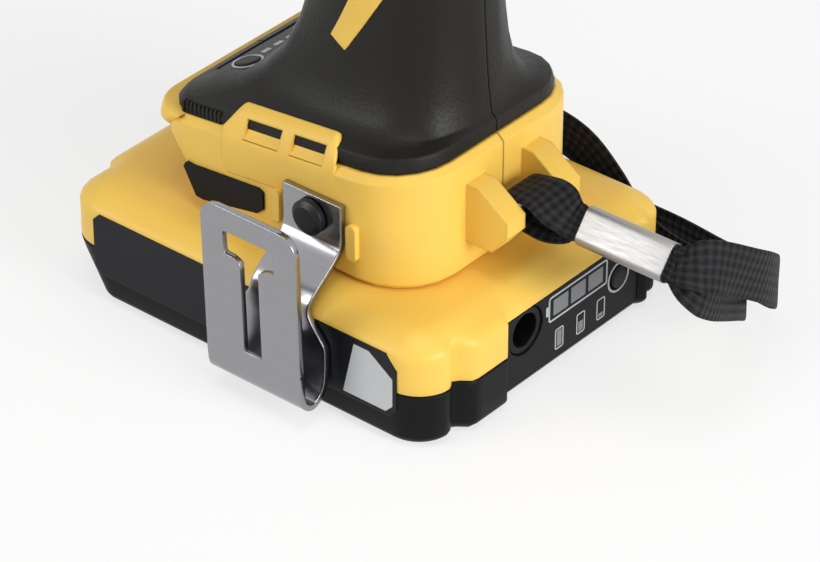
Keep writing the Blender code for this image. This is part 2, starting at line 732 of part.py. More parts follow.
def build_cover():
    """Yellow cover of the pack with its slide rail."""
    rings = [
        flat_ring(pack_plan(), COVER_BOTTOM), flat_ring(pack_plan(), PACK_SHOULDER - SHOULDER_CHAMFER),
        flat_ring(pack_plan(SHOULDER_CHAMFER), PACK_SHOULDER),
    ]
    cover = loft("battery_cover", rings)
    front, rear = PACK_FRONT - NOSE_REACH, PACK_FRONT + PACK_CORNER
    nose = [flat_ring(rounded(front + inset, rear, NOSE_HALF - inset, PACK_CORNER / 2, 1.0, 4, 1), z) for inset, z in (
        (0.0, COVER_BOTTOM), (0.0, PACK_SHOULDER - NOSE_CHAMFER), (NOSE_CHAMFER, PACK_SHOULDER - SEAT))]
    join(cover, loft("nose", nose))
    join(cover, prism("rail", rail_outline(), "X", RAIL_FRONT, RAIL_REAR))
    plan = pack_plan(PACK_WALL)
    cut(cover, loft("hollow", [flat_ring(plan, COVER_BOTTOM - 4.0), flat_ring(plan, COVER_ROOF)]))
    hollow_half = RAIL_HALF - GROOVE_DEPTH - 2.5
    low = (LATCH_X + 6.0, -hollow_half, COVER_ROOF - 4.0)
    cut(cover, block("rail_hollow", low, (RAIL_REAR - BLADE_REACH - 5.0, hollow_half, RAIL_TOP - 3.0)))
    for side in (-1, 1):
        spot = (PACK_SCREW_X, side * PACK_SCREW_Y, 0)
        join(cover, rod("post", PACK_POST, TRAY_HEIGHT + SEAT, COVER_ROOF + 1.0, spot, "Z", 20))
        cut(cover, rod("hole", SCREW_RADIUS + SEAT, TRAY_HEIGHT - 5.0, COVER_ROOF - 2.0, spot, "Z", 16))
        cut(cover, side_recess(side))
        reach = BLADE_THICK / 2 + RUN
        low = (RAIL_REAR - BLADE_REACH - 1.0, side * BLADE_Y - reach, BLADE_LOW - RUN)
        cut(cover, block("slot", low, (RAIL_REAR + 5.0, side * BLADE_Y + reach, BLADE_HIGH + RUN)))
    cut(cover, gauge_recess(), jack_hole(), gauge_button_hole())
    cut(cover, latch_shape("latch_room", RUN, LATCH_TRAVEL))
    dress(cover, "yellow_abs")


def latch_shape(name, grow, drop):
    """Release latch: tooth plate with a finger pad on its front, grown by a clearance."""
    half_thick, wide = LATCH_THICK / 2 + grow, LATCH_HALF + grow
    low = PACK_SHOULDER + 1.0 + LATCH_TRAVEL - drop - grow
    top = RAIL_TOP + LATCH_RISE + grow
    plate = block(name, (LATCH_X - half_thick, -wide, low), (LATCH_X + half_thick, wide, top))
    pad_low, pad_high = low + 0.5, low + 6.0 + drop + 2 * grow
    front = RAIL_FRONT - 1.0 - 4.0 * grow
    pad = block("pad", (front, -LATCH_HALF + 2.0 - grow, pad_low), (LATCH_X, LATCH_HALF - 2.0 + grow, pad_high))
    return join(plate, pad)


def build_pack_inside():
    """Cells with their end frames, gauge board, charge jack, gauge panel, buttons and screws."""
    for number in range(CELL_COUNT):
        x = CELL_START + number * CELL_PITCH
        spot = (x, 0, CELL_Z)
        dress(rod(f"battery_cell_{number + 1}", CELL_DIAMETER / 2, -CELL_LENGTH / 2, CELL_LENGTH / 2, spot, "Y", 20),
              "cell_wrap")
    low = (BOARD_X, -PACK_SCREW_Y + PACK_POST + 2.0, PACK_WALL + SEAT)
    high = (BOARD_X + BOARD_THICK, PACK_SCREW_Y - PACK_POST - 2.0, COVER_ROOF - SEAT)
    dress(block("battery_board", low, high), "board_green")
    jack, bore, back = JACK_BORE + 1.5, JACK_BORE, BOARD_X + BOARD_THICK + SEAT
    profile = [(back, 0), (back, jack), (PACK_REAR - 0.3, jack), (PACK_REAR - 0.3, bore),
               (PACK_REAR - JACK_DEPTH, bore), (PACK_REAR - JACK_DEPTH, 0)]
    dress(turned("charge_jack", profile, (0, JACK_Y, JACK_Z), "X", 24), "black_plastic")
    low = (PACK_REAR - PANEL_INSET + SEAT, GAUGE_LEFT, GAUGE_BOTTOM)
    panel = block("gauge_panel", low, (PACK_REAR, GAUGE_RIGHT, GAUGE_TOP), 0.25)
    dress(cut(panel, jack_hole(), gauge_button_hole()), "black_plastic")
    r = GAUGE_BUTTON_RADIUS
    low, high = PACK_REAR - PACK_WALL - 1.5, PACK_REAR + 0.5
    profile = [(low, 0), (low, r), (high - 0.3, r), (high, r - 0.4), (high, 0)]
    spot = (0, GAUGE_BUTTON_Y, TRAY_HEIGHT)
    dress(turned("gauge_button", profile, spot, "X", 20), "black_rubber", (PACK_REAR, spot[1], spot[2]))
    for name, side in (("side_panel_left", -1), ("side_panel_right", 1)):
        near, far = sorted((side * (PACK_HALF - PANEL_INSET + SEAT), side * (PACK_HALF + 0.1)))
        dress(prism(name, side_outline(0.0), "Y", near, far), "black_plastic")
    for name, side in (("pack_screw_left", -1), ("pack_screw_right", 1)):
        spot = (PACK_SCREW_X, side * PACK_SCREW_Y, PAD_PROUD)
        screw(name, COVER_ROOF - 3.0 - PAD_PROUD, SCREW_HEAD, spot, "Z", -1)
    dress(latch_shape("release_button", 0.0, 0.0), "black_plastic", (LATCH_X, 0, RAIL_TOP))


def build_foot_inside():
    """Terminal block with its blades, and the control board over the bay."""
    low = (RAIL_REAR + 1.0, -TERMINAL_HALF, PACK_SHOULDER + 2.0)
    dress(block("terminal_block", low, (BAY_REAR - SEAT, TERMINAL_HALF, BAY_ROOF - SEAT)), "black_plastic")
    for name, side in (("terminal_blade_left", -1), ("terminal_blade_right", 1)):
        y = side * BLADE_Y
        low = (RAIL_REAR - BLADE_REACH, y - BLADE_THICK / 2, BLADE_LOW)
        high = (RAIL_REAR + 1.0 - SEAT, y + BLADE_THICK / 2, BLADE_HIGH)
        dress(block(name, low, high), "copper")
    floor = BAY_ROOF + ROOF_THICK + SEAT
    dress(block("control_board", (-18.0, -15.0, floor), (14.0, 15.0, floor + 1.6)), "board_green")


# Motor, gears and impact mechanism
STATOR_FRONT = 0.0
PLATE_FRONT = -9.0
PLATE_THICK = 6.0
GEAR_FRONT = -20.0
FLANGE_THICK = 5.0
FLANGE_RADIUS = 19.0
HAMMER_FACE = -70.0
PILOT_LENGTH = 12.0
PILOT_RADIUS = 4.0
SPINDLE_END = HAMMER_FACE - PILOT_LENGTH
ANVIL_BACK = HAMMER_FACE - 0.4
ANVIL_FLANGE = JAW_LENGTH - 0.8
CAP_FRONT = BARREL_REAR + SEAT
CENTRE = (0, 0, HEAD_Z)
SUN_PITCH = GEAR_MODULE * SUN_TEETH / 2
PLANET_PITCH = GEAR_MODULE * PLANET_TEETH / 2
RING_PITCH = GEAR_MODULE * RING_TEETH / 2
PLANET_ORBIT = SUN_PITCH + PLANET_PITCH
ADDENDUM = 0.65 * GEAR_MODULE
DEDENDUM = 0.95 * GEAR_MODULE
TOOTH_TIP = 0.28
TOOTH_ROOT = 0.62


def gear_outline(teeth, phase, inward=False):
    """Simple trapezoid teeth about the pitch circle, with generous backlash."""
    pitch = GEAR_MODULE * teeth / 2
    tip = pitch - ADDENDUM if inward else pitch + ADDENDUM
    root = pitch + DEDENDUM if inward else pitch - DEDENDUM
    points = []
    for i in range(teeth):
        centre = phase + 2 * math.pi * i / teeth
        step = math.pi / teeth
        for radius, shift in ((root, -TOOTH_ROOT), (tip, -TOOTH_TIP), (tip, TOOTH_TIP), (root, TOOTH_ROOT)):
            angle = centre + shift * step
            points.append((radius * math.cos(angle), radius * math.sin(angle)))
    return points


def gear(name, teeth, phase, low, high, spot=(0.0, 0.0), inward=False):
    """Gear body along X about a point in the Y-Z plane given from the head's axis."""
    outline = gear_outline(teeth, phase, inward)
    moved = [(u + spot[0], v + spot[1] + HEAD_Z) for u, v in outline]
    return prism(name, moved, "X", low, high)


def build_motor():
    """Stator, rotor, shaft with pinion, fan and bearings on the head's axis."""
    outer = BARREL_RADIUS - BARREL_WALL - SEAT
    rear = STATOR_FRONT + STATOR_LENGTH
    dress(tube("stator", outer, STATOR_BORE, STATOR_FRONT, rear, CENTRE), "dark_steel")
    core = STATOR_BORE - ROTOR_GAP
    bore = SHAFT_RADIUS + 0.05
    dress(tube("rotor_core", core, bore, STATOR_FRONT + 1.0, rear - 1.0, CENTRE), "bright_steel", CENTRE)
    plate_rear = PLATE_FRONT + PLATE_THICK
    shaft_rear = CAP_FRONT + BEARING_WIDTH
    pinion_rear = PLATE_FRONT - SEAT
    shaft = rod("motor_shaft", SHAFT_RADIUS, pinion_rear - 2.0, shaft_rear, CENTRE, "X", 20)
    join(shaft, gear("pinion", SUN_TEETH, 0.0, GEAR_FRONT + 1.0, pinion_rear))
    dress(shaft, "bright_steel", CENTRE)
    fan_front = rear + 3.0
    fan_rear = fan_front + FAN_LENGTH
    profile = [(fan_front, bore), (fan_front, 7.0), (fan_front + 3.5, 9.0), (fan_front + 3.5, FAN_RADIUS),
               (fan_rear, FAN_RADIUS), (fan_rear, bore)]
    fan = turned("motor_fan", profile, CENTRE)
    for i in range(12):
        turn = Matrix.Rotation(2 * math.pi * i / 12, 4, "X")
        slot = block("slot", (fan_front + 2.0, -1.6, 12.0), (fan_rear + 2.0, 1.6, FAN_RADIUS + 3.0))
        slot.data.transform(Matrix.Translation(Vector(CENTRE) * MM) @ turn)
        cut(fan, slot)
    dress(fan, "black_plastic", CENTRE)
    for name, low in (("front_bearing", plate_rear - BEARING_WIDTH), ("rear_bearing", CAP_FRONT)):
        dress(tube(name, BEARING_RADIUS, SHAFT_RADIUS + 0.08, low, low + BEARING_WIDTH, CENTRE), "bright_steel")
    seat = BEARING_RADIUS + 0.05
    hole = SUN_PITCH + ADDENDUM + 1.0
    lip = plate_rear - BEARING_WIDTH - SEAT
    profile = [(PLATE_FRONT, hole), (PLATE_FRONT, outer), (plate_rear, outer), (plate_rear, seat),
               (lip, seat), (lip, hole)]
    dress(turned("bearing_plate", profile, CENTRE), "cast_aluminium")


def build_gears():
    """Ring gear, planets on their pins, and the spindle with its carrier flange."""
    gear_rear = GEAR_FRONT + PLANET_WIDTH
    ring_outer = BARREL_RADIUS - BARREL_WALL - SEAT
    ring = rod("ring_gear", ring_outer, GEAR_FRONT - 0.5, gear_rear + 1.0, CENTRE)
    cut(ring, gear("teeth", RING_TEETH, 0.0, GEAR_FRONT - 5.0, gear_rear + 5.0, inward=True))
    dress(ring, "bright_steel")
    flange_front = GEAR_FRONT - SEAT - FLANGE_THICK
    flange_rear = GEAR_FRONT - SEAT
    pilot_rear = SPINDLE_END + PILOT_LENGTH
    profile = [(SPINDLE_END, 0), (SPINDLE_END, PILOT_RADIUS), (pilot_rear, PILOT_RADIUS), (pilot_rear, SPINDLE_RADIUS),
               (flange_front, SPINDLE_RADIUS), (flange_front, FLANGE_RADIUS), (flange_rear, FLANGE_RADIUS),
               (flange_rear, 0)]
    spindle = turned("spindle", profile, CENTRE)
    for i in range(PLANET_COUNT):
        angle = 2 * math.pi * i / PLANET_COUNT
        spot = (PLANET_ORBIT * math.cos(angle), PLANET_ORBIT * math.sin(angle))
        centre = (0, spot[0], HEAD_Z + spot[1])
        pin_rear = gear_rear - 0.3
        join(spindle, rod("pin", PIN_RADIUS, flange_front + 1.5, pin_rear, centre, "X", 16))
        phase = angle + math.pi + math.pi / PLANET_TEETH
        planet = gear(f"planet_gear_{i + 1}", PLANET_TEETH, phase, GEAR_FRONT, gear_rear, spot)
        cut(planet, rod("bore", PIN_RADIUS + 0.05, GEAR_FRONT - 4.0, gear_rear + 4.0, centre, "X", 16))
        dress(planet, "bright_steel", centre)
    dress(spindle, "bright_steel", CENTRE)


# Hammer, anvil and front case
JAW_INNER = 12.0
JAW_OUTER = 22.5
JAW_HALF = 5.0
BUSH_RADIUS = ANVIL_RADIUS + BUSH_WALL
CASE_RADIUS = BARREL_RADIUS - 0.5
CASE_BORE = CASE_RADIUS - CASE_WALL - 0.5
BUMPER_FRONT = -64.0
BUMPER_REAR = -34.0
BUMPER_THICK = 2.0
SPRING_RADIUS = 12.0


def jaw(name, axis, side, low, high):
    """One driving jaw, set to one side of the head's axis along Y or Z."""
    near, far = sorted((side * JAW_INNER, side * JAW_OUTER))
    if axis == "Y":
        return block(name, (low, near, HEAD_Z - JAW_HALF), (high, far, HEAD_Z + JAW_HALF))
    return block(name, (low, -JAW_HALF, HEAD_Z + near), (high, JAW_HALF, HEAD_Z + far))


def build_impact():
    """Hammer with its spring and washer, anvil with the square drive, and the nose bushing."""
    back = HAMMER_FACE + HAMMER_LENGTH
    hammer = tube("hammer", HAMMER_RADIUS, SPINDLE_RADIUS + 0.08, HAMMER_FACE, back, CENTRE)
    for side in (-1, 1):
        join(hammer, jaw("jaw", "Y", side, HAMMER_FACE - JAW_LENGTH, HAMMER_FACE + 2.0))
    dress(hammer, "dark_steel", CENTRE)
    flange_front = GEAR_FRONT - SEAT - FLANGE_THICK
    washer_front = flange_front - SEAT - 1.5
    dress(tube("spring_washer", SPRING_RADIUS + 3.0, SPINDLE_RADIUS + 0.1, washer_front, flange_front - SEAT, CENTRE),
          "bright_steel", CENTRE)
    build_spring(back + SEAT + SPRING_WIRE / 2, washer_front - SEAT - SPRING_WIRE / 2)
    front = ANVIL_BACK - ANVIL_FLANGE
    nose = CASE_NOSE - 1.0
    anvil = rod("anvil", ANVIL_RADIUS, nose, ANVIL_BACK, CENTRE)
    join(anvil, rod("flange", JAW_INNER - 1.0, front, ANVIL_BACK - 0.1, CENTRE))
    for side in (-1, 1):
        near, far = sorted((side * 4.0, side * (JAW_OUTER - 1.5)))
        lug = block("lug", (front + 0.1, -JAW_HALF, HEAD_Z + near), (ANVIL_BACK - 0.2, JAW_HALF, HEAD_Z + far))
        join(anvil, lug)
    side = DRIVE_SQUARE / 2
    tip = nose - DRIVE_LENGTH
    join(anvil, block("drive", (tip, -side, HEAD_Z - side), (nose + 1.0, side, HEAD_Z + side), 0.8))
    cut(anvil, rod("pilot", PILOT_RADIUS + 0.1, SPINDLE_END - SEAT, ANVIL_BACK + 3.0, CENTRE))
    dress(anvil, "dark_steel", CENTRE)
    dress(tube("nose_bushing", BUSH_RADIUS, ANVIL_RADIUS + 0.08, CASE_NOSE + 0.5, CASE_NOSE + 14.5, CENTRE), "copper")


def build_spring(front, rear):
    """Coil spring round the spindle, as one unbroken wire."""
    per_turn, sides = 12, 5
    count = int(SPRING_TURNS * per_turn)
    rings = []
    for i in range(count + 1):
        angle = 2 * math.pi * i / per_turn
        middle = Vector((front + (rear - front) * i / count, SPRING_RADIUS * math.cos(angle),
                         SPRING_RADIUS * math.sin(angle) + HEAD_Z))
        out = Vector((0, math.cos(angle), math.sin(angle)))
        rings.append([middle + out * (SPRING_WIRE / 2 * math.cos(t)) + Vector((SPRING_WIRE / 2 * math.sin(t), 0, 0))
                      for t in [2 * math.pi * k / sides for k in range(sides)]])
    spring = dress(loft("hammer_spring", rings), "bright_steel", CENTRE)
    turn_step = (rear - front) / SPRING_TURNS
    print("hammer spring least gap between turns, mm:", round(abs(turn_step) - SPRING_WIRE, 2))
    return spring


def build_case():
    """Aluminium hammer case, rubber bumper and rear motor cap."""
    seat = BUSH_RADIUS + 0.05
    jaws = HAMMER_FACE - JAW_LENGTH - 1.0
    profile = [
        (CASE_REAR, CASE_BORE), (CASE_REAR, CASE_RADIUS), (BUMPER_FRONT - 2.0, CASE_RADIUS),
        (CASE_NOSE + 14.0, CASE_RADIUS - 6.5), (CASE_NOSE + 4.0, NOSE_RADIUS + 1.5), (CASE_NOSE, NOSE_RADIUS),
        (CASE_NOSE, seat), (jaws - 1.5, seat), (jaws - 1.5, JAW_OUTER - 1.0), (jaws, JAW_OUTER + 1.5),
        (HAMMER_FACE, CASE_BORE),
    ]
    dress(turned("hammer_case", profile, CENTRE), "cast_aluminium")
    inner, outer = CASE_RADIUS + SEAT, CASE_RADIUS + SEAT + BUMPER_THICK
    profile = [
        (BUMPER_FRONT, inner), (BUMPER_FRONT, outer - 1.0), (BUMPER_FRONT + 1.5, outer),
        (BUMPER_REAR - 1.5, outer), (BUMPER_REAR, outer - 1.0), (BUMPER_REAR, inner),
    ]
    dress(turned("nose_bumper", profile, CENTRE), "black_rubber")
    rear, hub, bearing = CAP_FRONT + CAP_LENGTH, BEARING_RADIUS + 3.0, BEARING_RADIUS + 0.05
    floor = rear - 3.5
    pocket = CAP_FRONT + BEARING_WIDTH + 0.7
    profile = [
        (CAP_FRONT, BARREL_RADIUS - BARREL_WALL), (CAP_FRONT, BARREL_RADIUS), (rear - 5.0, BARREL_RADIUS),
        (rear - 1.5, BARREL_RADIUS - 2.5), (rear, BARREL_RADIUS - 6.0), (rear, 0), (pocket, 0), (pocket, bearing),
        (CAP_FRONT, bearing), (CAP_FRONT, hub), (floor, hub), (floor, BARREL_RADIUS - 6.0),
    ]
    dress(turned("rear_cap", profile, CENTRE), "black_plastic")


# Trigger, switch and work light
SWITCH_FRONT = -5.0
SWITCH_REAR = 13.0
SWITCH_HALF = 10.3
TRIGGER_REAR = SWITCH_FRONT - TRIGGER_TRAVEL - 1.5
STEM_RADIUS = 2.0


def build_controls():
    """Trigger and its switch, direction button and work light lens."""
    middle = (TRIGGER_LOW + TRIGGER_HIGH) / 2
    front = NECK_FRONT - TRIGGER_REACH
    outline = [
        (TRIGGER_REAR, TRIGGER_LOW), (TRIGGER_REAR, TRIGGER_HIGH), (NECK_FRONT - 3.0, TRIGGER_HIGH),
        (front + 0.8, TRIGGER_HIGH - 2.0), (front + 1.2, middle + 4.5), (front + 2.0, middle),
        (front + 1.5, middle - 4.5), (front, TRIGGER_LOW + 2.0), (front + 2.0, TRIGGER_LOW),
    ]
    trigger = prism("trigger", outline, "Y", -TRIGGER_HALF, TRIGGER_HALF)
    spot = (0, 0, middle)
    join(trigger, rod("stem", STEM_RADIUS, TRIGGER_REAR - 2.0, SWITCH_FRONT + 4.0, spot, "X", 16))
    dress(trigger, "black_plastic", (TRIGGER_REAR, 0, middle))
    low, high = (SWITCH_FRONT, -SWITCH_HALF, TRIGGER_LOW - 2.0), (SWITCH_REAR, SWITCH_HALF, TRIGGER_HIGH + 1.0)
    switch = block("switch_body", low, high)
    deep = SWITCH_FRONT + 4.0 + TRIGGER_TRAVEL + 1.5
    cut(switch, rod("bore", STEM_RADIUS + RUN, SWITCH_FRONT - 3.0, deep, spot, "X", 16))
    dress(switch, "black_plastic")
    side = DIRECTION_SIZE / 2
    reach = HANDLE_HALF_WIDTH - 1.0 + DIRECTION_PROUD
    low = (DIRECTION_X - side, -reach, DIRECTION_Z - side)
    bar = block("direction_button", low, (DIRECTION_X + side, reach, DIRECTION_Z + side), 0.6)
    dress(bar, "black_plastic", (DIRECTION_X, 0, DIRECTION_Z))
    spot = (0, 0, LENS_Z)
    dress(rod("work_light_lens", LENS_RADIUS, NECK_FRONT - 1.5, NECK_FRONT + 5.5, spot, "X", 20), "clear_lens")


# Belt hook and wrist strap
HOOK_OFFSETS = (
    (1.0, 44.5), (1.0, 40.0), (1.0, 35.5), (2.2, 33.0), (6.0, 29.8), (9.8, 27.0), (11.7, 24.5), (12.2, 21.0),
    (12.2, 16.0), (12.4, 10.0), (13.5, 6.6), (16.5, 4.6), (19.3, 6.2), (20.0, 10.0), (20.2, 16.0), (20.6, 30.0),
    (21.2, 48.5),
)
HOOK_PATH = [(-FOOT_HALF - out, z) for out, z in HOOK_OFFSETS]
HOOK_WIDENS = (24.5, 16.0)
HOOK_PLATE_Y = -FOOT_HALF - 20.6
HOOK_BAR_LOW = 37.0
HOOK_BAR_HIGH = 43.0
HOOK_STEM_LOW = 14.0
TAPE_LIFT = STRAP_THICK / 2 + 0.15
PIN_WRAP = PIN_STRAP_RADIUS + SEAT + STRAP_THICK / 2
STRAP_GROUND = STRAP_WIDTH / 2 + 1.1
TAPE_PLAY = 0.2


def smooth(points, steps):
    """Catmull-Rom curve through the points, with a number of steps in each span."""
    ends = [points[0]] + list(points) + [points[-1]]
    curve = []
    for a, b, c, d in zip(ends, ends[1:], ends[2:], ends[3:]):
        for i in range(steps):
            t = i / steps
            curve.append(tuple(
                0.5 * (2 * q + (r - p) * t + (2 * p - 5 * q + 4 * r - s) * t * t + (3 * q - p - 3 * r + s) * t ** 3)
                for p, q, r, s in zip(a, b, c, d)))
    curve.append(tuple(points[-1]))
    return curve


def strip(name, places, across, half_widths, thick):
    """Flat strip along places, its width along the vectors across."""
    rings = []
    for i, (place, wide, reach) in enumerate(zip(places, across, half_widths)):
        ahead = places[min(i + 1, len(places) - 1)] - places[max(i - 1, 0)]
        along = ahead.normalized()
        wide = (wide - along * wide.dot(along)).normalized()
        normal = along.cross(wide)
        w, n = wide * reach, normal * (thick / 2)
        rings.append([place - w - n, place + w - n, place + w + n, place - w + n])
    return loft(name, rings)


def build_hook():
    """Sprung steel belt hook with its screw."""
    curve = smooth(HOOK_PATH, 3)
    places = [Vector((HOOK_X, y, z)) for y, z in curve]
    across = [Vector((1, 0, 0))] * len(places)
    high, low = HOOK_WIDENS
    halves = []
    passed = False
    for place in places:
        passed = passed or place.z < low
        share = 1.0 if passed else min(max((high - place.z) / (high - low), 0.0), 1.0)
        halves.append(HOOK_TAB_WIDTH / 2 + (HOOK_WIDTH - HOOK_TAB_WIDTH) / 2 * share)
    hook = strip("belt_hook", places, across, halves, HOOK_THICK)
    bar, stem = HOOK_SLOT_BAR / 2, HOOK_SLOT_STEM / 2
    outline = [(HOOK_X - bar, HOOK_BAR_HIGH), (HOOK_X - bar, HOOK_BAR_LOW), (HOOK_X - stem, HOOK_BAR_LOW),
               (HOOK_X - stem, HOOK_STEM_LOW), (HOOK_X + stem, HOOK_STEM_LOW), (HOOK_X + stem, HOOK_BAR_LOW),
               (HOOK_X + bar, HOOK_BAR_LOW), (HOOK_X + bar, HOOK_BAR_HIGH)]
    cut(hook, prism("slot", outline, "Y", HOOK_PLATE_Y - 6.0, HOOK_PLATE_Y + 4.0))
    spot = (HOOK_X, 0, HOOK_SCREW_Z)
    cut(hook, rod("hole", SCREW_RADIUS + SEAT, -FOOT_HALF - 4.0, -FOOT_HALF + 2.0, spot, "Y", 16))
    dress(hook, "nickel_steel")
    face = HOOK_WALL_Y - HOOK_THICK - SEAT
    h, top = HOOK_HEAD_RADIUS, face - SCREW_HEAD
    profile = [(-FOOT_HALF + 6.0, 0), (-FOOT_HALF + 6.0, SCREW_RADIUS), (face, SCREW_RADIUS), (face, h),
               (top + 0.9, h), (top, h - 1.2), (top, 0)]
    dress(turned("belt_hook_screw", profile, spot, "Y", 20), "dark_steel")


def strap_route():
    """Points of the tape: round the pin, through the ferrule, round the hand loop and back."""
    level, rise, flat, edge = LUG_Z, TAPE_LIFT, (0, 1, 0), (0, 0, 1)
    ferrule_end = FERRULE_START + FERRULE_LENGTH
    wrap = []
    for degrees in (172, 135, 100):
        angle = math.radians(degrees)
        wrap.append((PIN_X + PIN_WRAP * math.cos(angle), PIN_WRAP * math.sin(angle)))
    upper = [((x, 0, level + z), flat) for x, z in wrap]
    lower = [((x, 0, level - z), flat) for x, z in reversed(wrap)]
    stations = (PIN_X + 7.0, 1.9), (FERRULE_START - 3.0, rise), (FERRULE_START, rise), (ferrule_end, rise)
    stations += ((ferrule_end + 2.0, rise),)
    upper += [((x, 0, level + z), flat) for x, z in stations]
    lower = [((x, 0, level - z), flat) for x, z in reversed(stations)] + lower
    g = STRAP_GROUND
    outward = [
        ((78.5, 0.6, 42.2), (-0.15, 0.75, 0.6)), ((82, 4.5, 42.5), (-0.3, 0.25, 0.9)), ((84.8, 13, 39), edge),
        ((86, 23, 33.5), edge), ((83, 32.5, 27.5), edge), ((76.5, 39.5, 22), edge), ((66, 45.5, 17), edge),
        ((52, 49.5, 11.5), edge), ((38, 51.3, 8), edge), ((24, 51.3, g), edge), ((8, 50.6, g), edge),
        ((-6, 50.2, 8), edge), ((-15, 49.5, 11), edge), ((-19.5, 47.2, 15), edge),
    ]
    homeward = [
        ((-15, 45, 19), edge), ((-4, 44.4, 23.5), edge), ((10, 44.3, 25.5), edge), ((22, 44.4, 21.5), edge),
        ((34, 44.8, 13), edge), ((46, 44.8, 8.5), edge), ((58, 41.5, 9.5), edge), ((67, 35, 13.5), edge),
        ((73, 26, 20), edge), ((77, 15, 27), edge), ((79.5, 6, 33), (0, 0.2, 1)), ((79, 1.5, 37), (-0.2, 0.6, 0.75)),
    ]
    return upper + outward + homeward + lower


def build_strap():
    """Strap pin, woven tape and the flat steel ferrule that pinches it."""
    depth = LUG_GAP / 2 + 3.5
    dress(rod("strap_pin", PIN_STRAP_RADIUS, -depth, depth, (PIN_X, 0, LUG_Z), "Y", 16), "bright_steel")
    route = strap_route()
    curve = smooth([place + wide for place, wide in route], 2)
    places = [Vector(values[:3]) for values in curve]
    across = [Vector(values[3:]) for values in curve]
    tape = strip("wrist_strap", places, across, [STRAP_WIDTH / 2] * len(places), STRAP_THICK)
    length = sum((b - a).length for a, b in zip(places, places[1:]))
    print("wrist strap length, mm:", round(length, 1))
    dress(tape, "webbing")
    wide, tall = STRAP_WIDTH / 2 + RUN, TAPE_LIFT + STRAP_THICK / 2 + TAPE_PLAY
    end = FERRULE_START + FERRULE_LENGTH
    rings = []
    for grow in (0.0, FERRULE_WALL):
        corner = 0.3 + grow
        rings.append([(u, v + LUG_Z) for u, v in rounded(-wide - grow, wide + grow, tall + grow, corner, corner, 5, 1)])
    ferrule = prism("strap_ferrule", rings[1], "X", FERRULE_START, end)
    dress(cut(ferrule, prism("bore", rings[0], "X", FERRULE_START - 5.0, end + 5.0)), "nickel_steel")


def main():
    """Clear the scene and build every piece."""
    for item in list(bpy.data.objects):
        bpy.data.objects.remove(item, do_unlink=True)
    for build in (build_housing, build_grip, build_housing_screws, build_panel, build_tray, build_cover,
                  build_pack_inside, build_foot_inside, build_motor, build_gears, build_impact, build_case,
                  build_controls, build_hook, build_strap):
        build()


main()
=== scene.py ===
"""Looks of the cordless impact wrench: finishes, tape, markings, light and camera.

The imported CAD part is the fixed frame. Sizes in the classes are in millimetres and become
metres only when a mesh is written.
"""
import json
import logging
import math
from dataclasses import dataclass
from enum import Enum
from typing import Any, Dict, List, NamedTuple, Optional, Tuple

import bmesh
import bpy
import numpy as np
from mathutils import Matrix, Vector

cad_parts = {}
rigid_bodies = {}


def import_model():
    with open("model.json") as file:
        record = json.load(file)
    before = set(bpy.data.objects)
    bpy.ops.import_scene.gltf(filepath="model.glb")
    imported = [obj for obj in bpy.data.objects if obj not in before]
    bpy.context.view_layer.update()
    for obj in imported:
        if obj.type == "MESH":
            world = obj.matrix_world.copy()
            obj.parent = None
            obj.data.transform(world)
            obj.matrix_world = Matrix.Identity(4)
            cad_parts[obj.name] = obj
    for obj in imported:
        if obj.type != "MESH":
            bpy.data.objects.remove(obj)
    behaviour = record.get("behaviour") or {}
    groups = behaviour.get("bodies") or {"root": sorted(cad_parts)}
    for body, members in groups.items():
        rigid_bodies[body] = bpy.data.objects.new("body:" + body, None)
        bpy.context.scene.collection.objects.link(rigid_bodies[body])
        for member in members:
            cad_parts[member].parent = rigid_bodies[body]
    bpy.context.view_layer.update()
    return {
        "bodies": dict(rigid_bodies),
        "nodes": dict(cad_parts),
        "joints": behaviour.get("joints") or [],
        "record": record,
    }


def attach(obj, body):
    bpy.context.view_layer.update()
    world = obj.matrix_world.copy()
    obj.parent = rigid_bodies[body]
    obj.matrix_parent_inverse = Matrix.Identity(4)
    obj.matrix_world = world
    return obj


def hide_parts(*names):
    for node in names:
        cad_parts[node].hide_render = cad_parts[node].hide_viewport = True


MM = 0.001
PER_METRE = 1000.0
WHITE = (1.0, 1.0, 1.0, 1.0)
# Printed marks reach from just below a face to just above it
PRINT_LOW, PRINT_HIGH = -0.1, 0.06
# Slow shade patches of moulded surfaces
PATCH_MM = 24.0
BEVEL_SAMPLES = 6
# Edges of built pieces that are sharper than this stay crisp, or are rounded on thick sheets
CRISP_DEGREES, ROUND_DEGREES = 40.0, 50.0
# Points of a CAD mesh that lie nearer than this are one point
MERGE_MM = 0.002
LEAST_CORNER = 0.2
# Tilt of the control strip in radians
STRIP_TILT = 0.2793
LOG = logging.getLogger("impact_wrench")
Pair = Tuple[float, float]
Point = Tuple[float, float, float]
Node, Socket = bpy.types.Node, bpy.types.NodeSocket
Item, Array = bpy.types.Object, np.ndarray
Named = Dict[str, Any]
SIDES = (("left", -1.0), ("right", 1.0))


def linear(code: str) -> Tuple[float, float, float, float]:
    """Turn an sRGB hex colour into linear RGBA.

    Args:
        code: colour such as "#E8BC45".
    Returns:
        Linear red, green, blue and an alpha of 1.
    """
    values = np.array([int(code[i:i + 2], 16) for i in (1, 3, 5)]) / 255.0
    bent = np.where(values <= 0.04045, values / 12.92, ((values + 0.055) / 1.055) ** 2.4)
    return (float(bent[0]), float(bent[1]), float(bent[2]), 1.0)


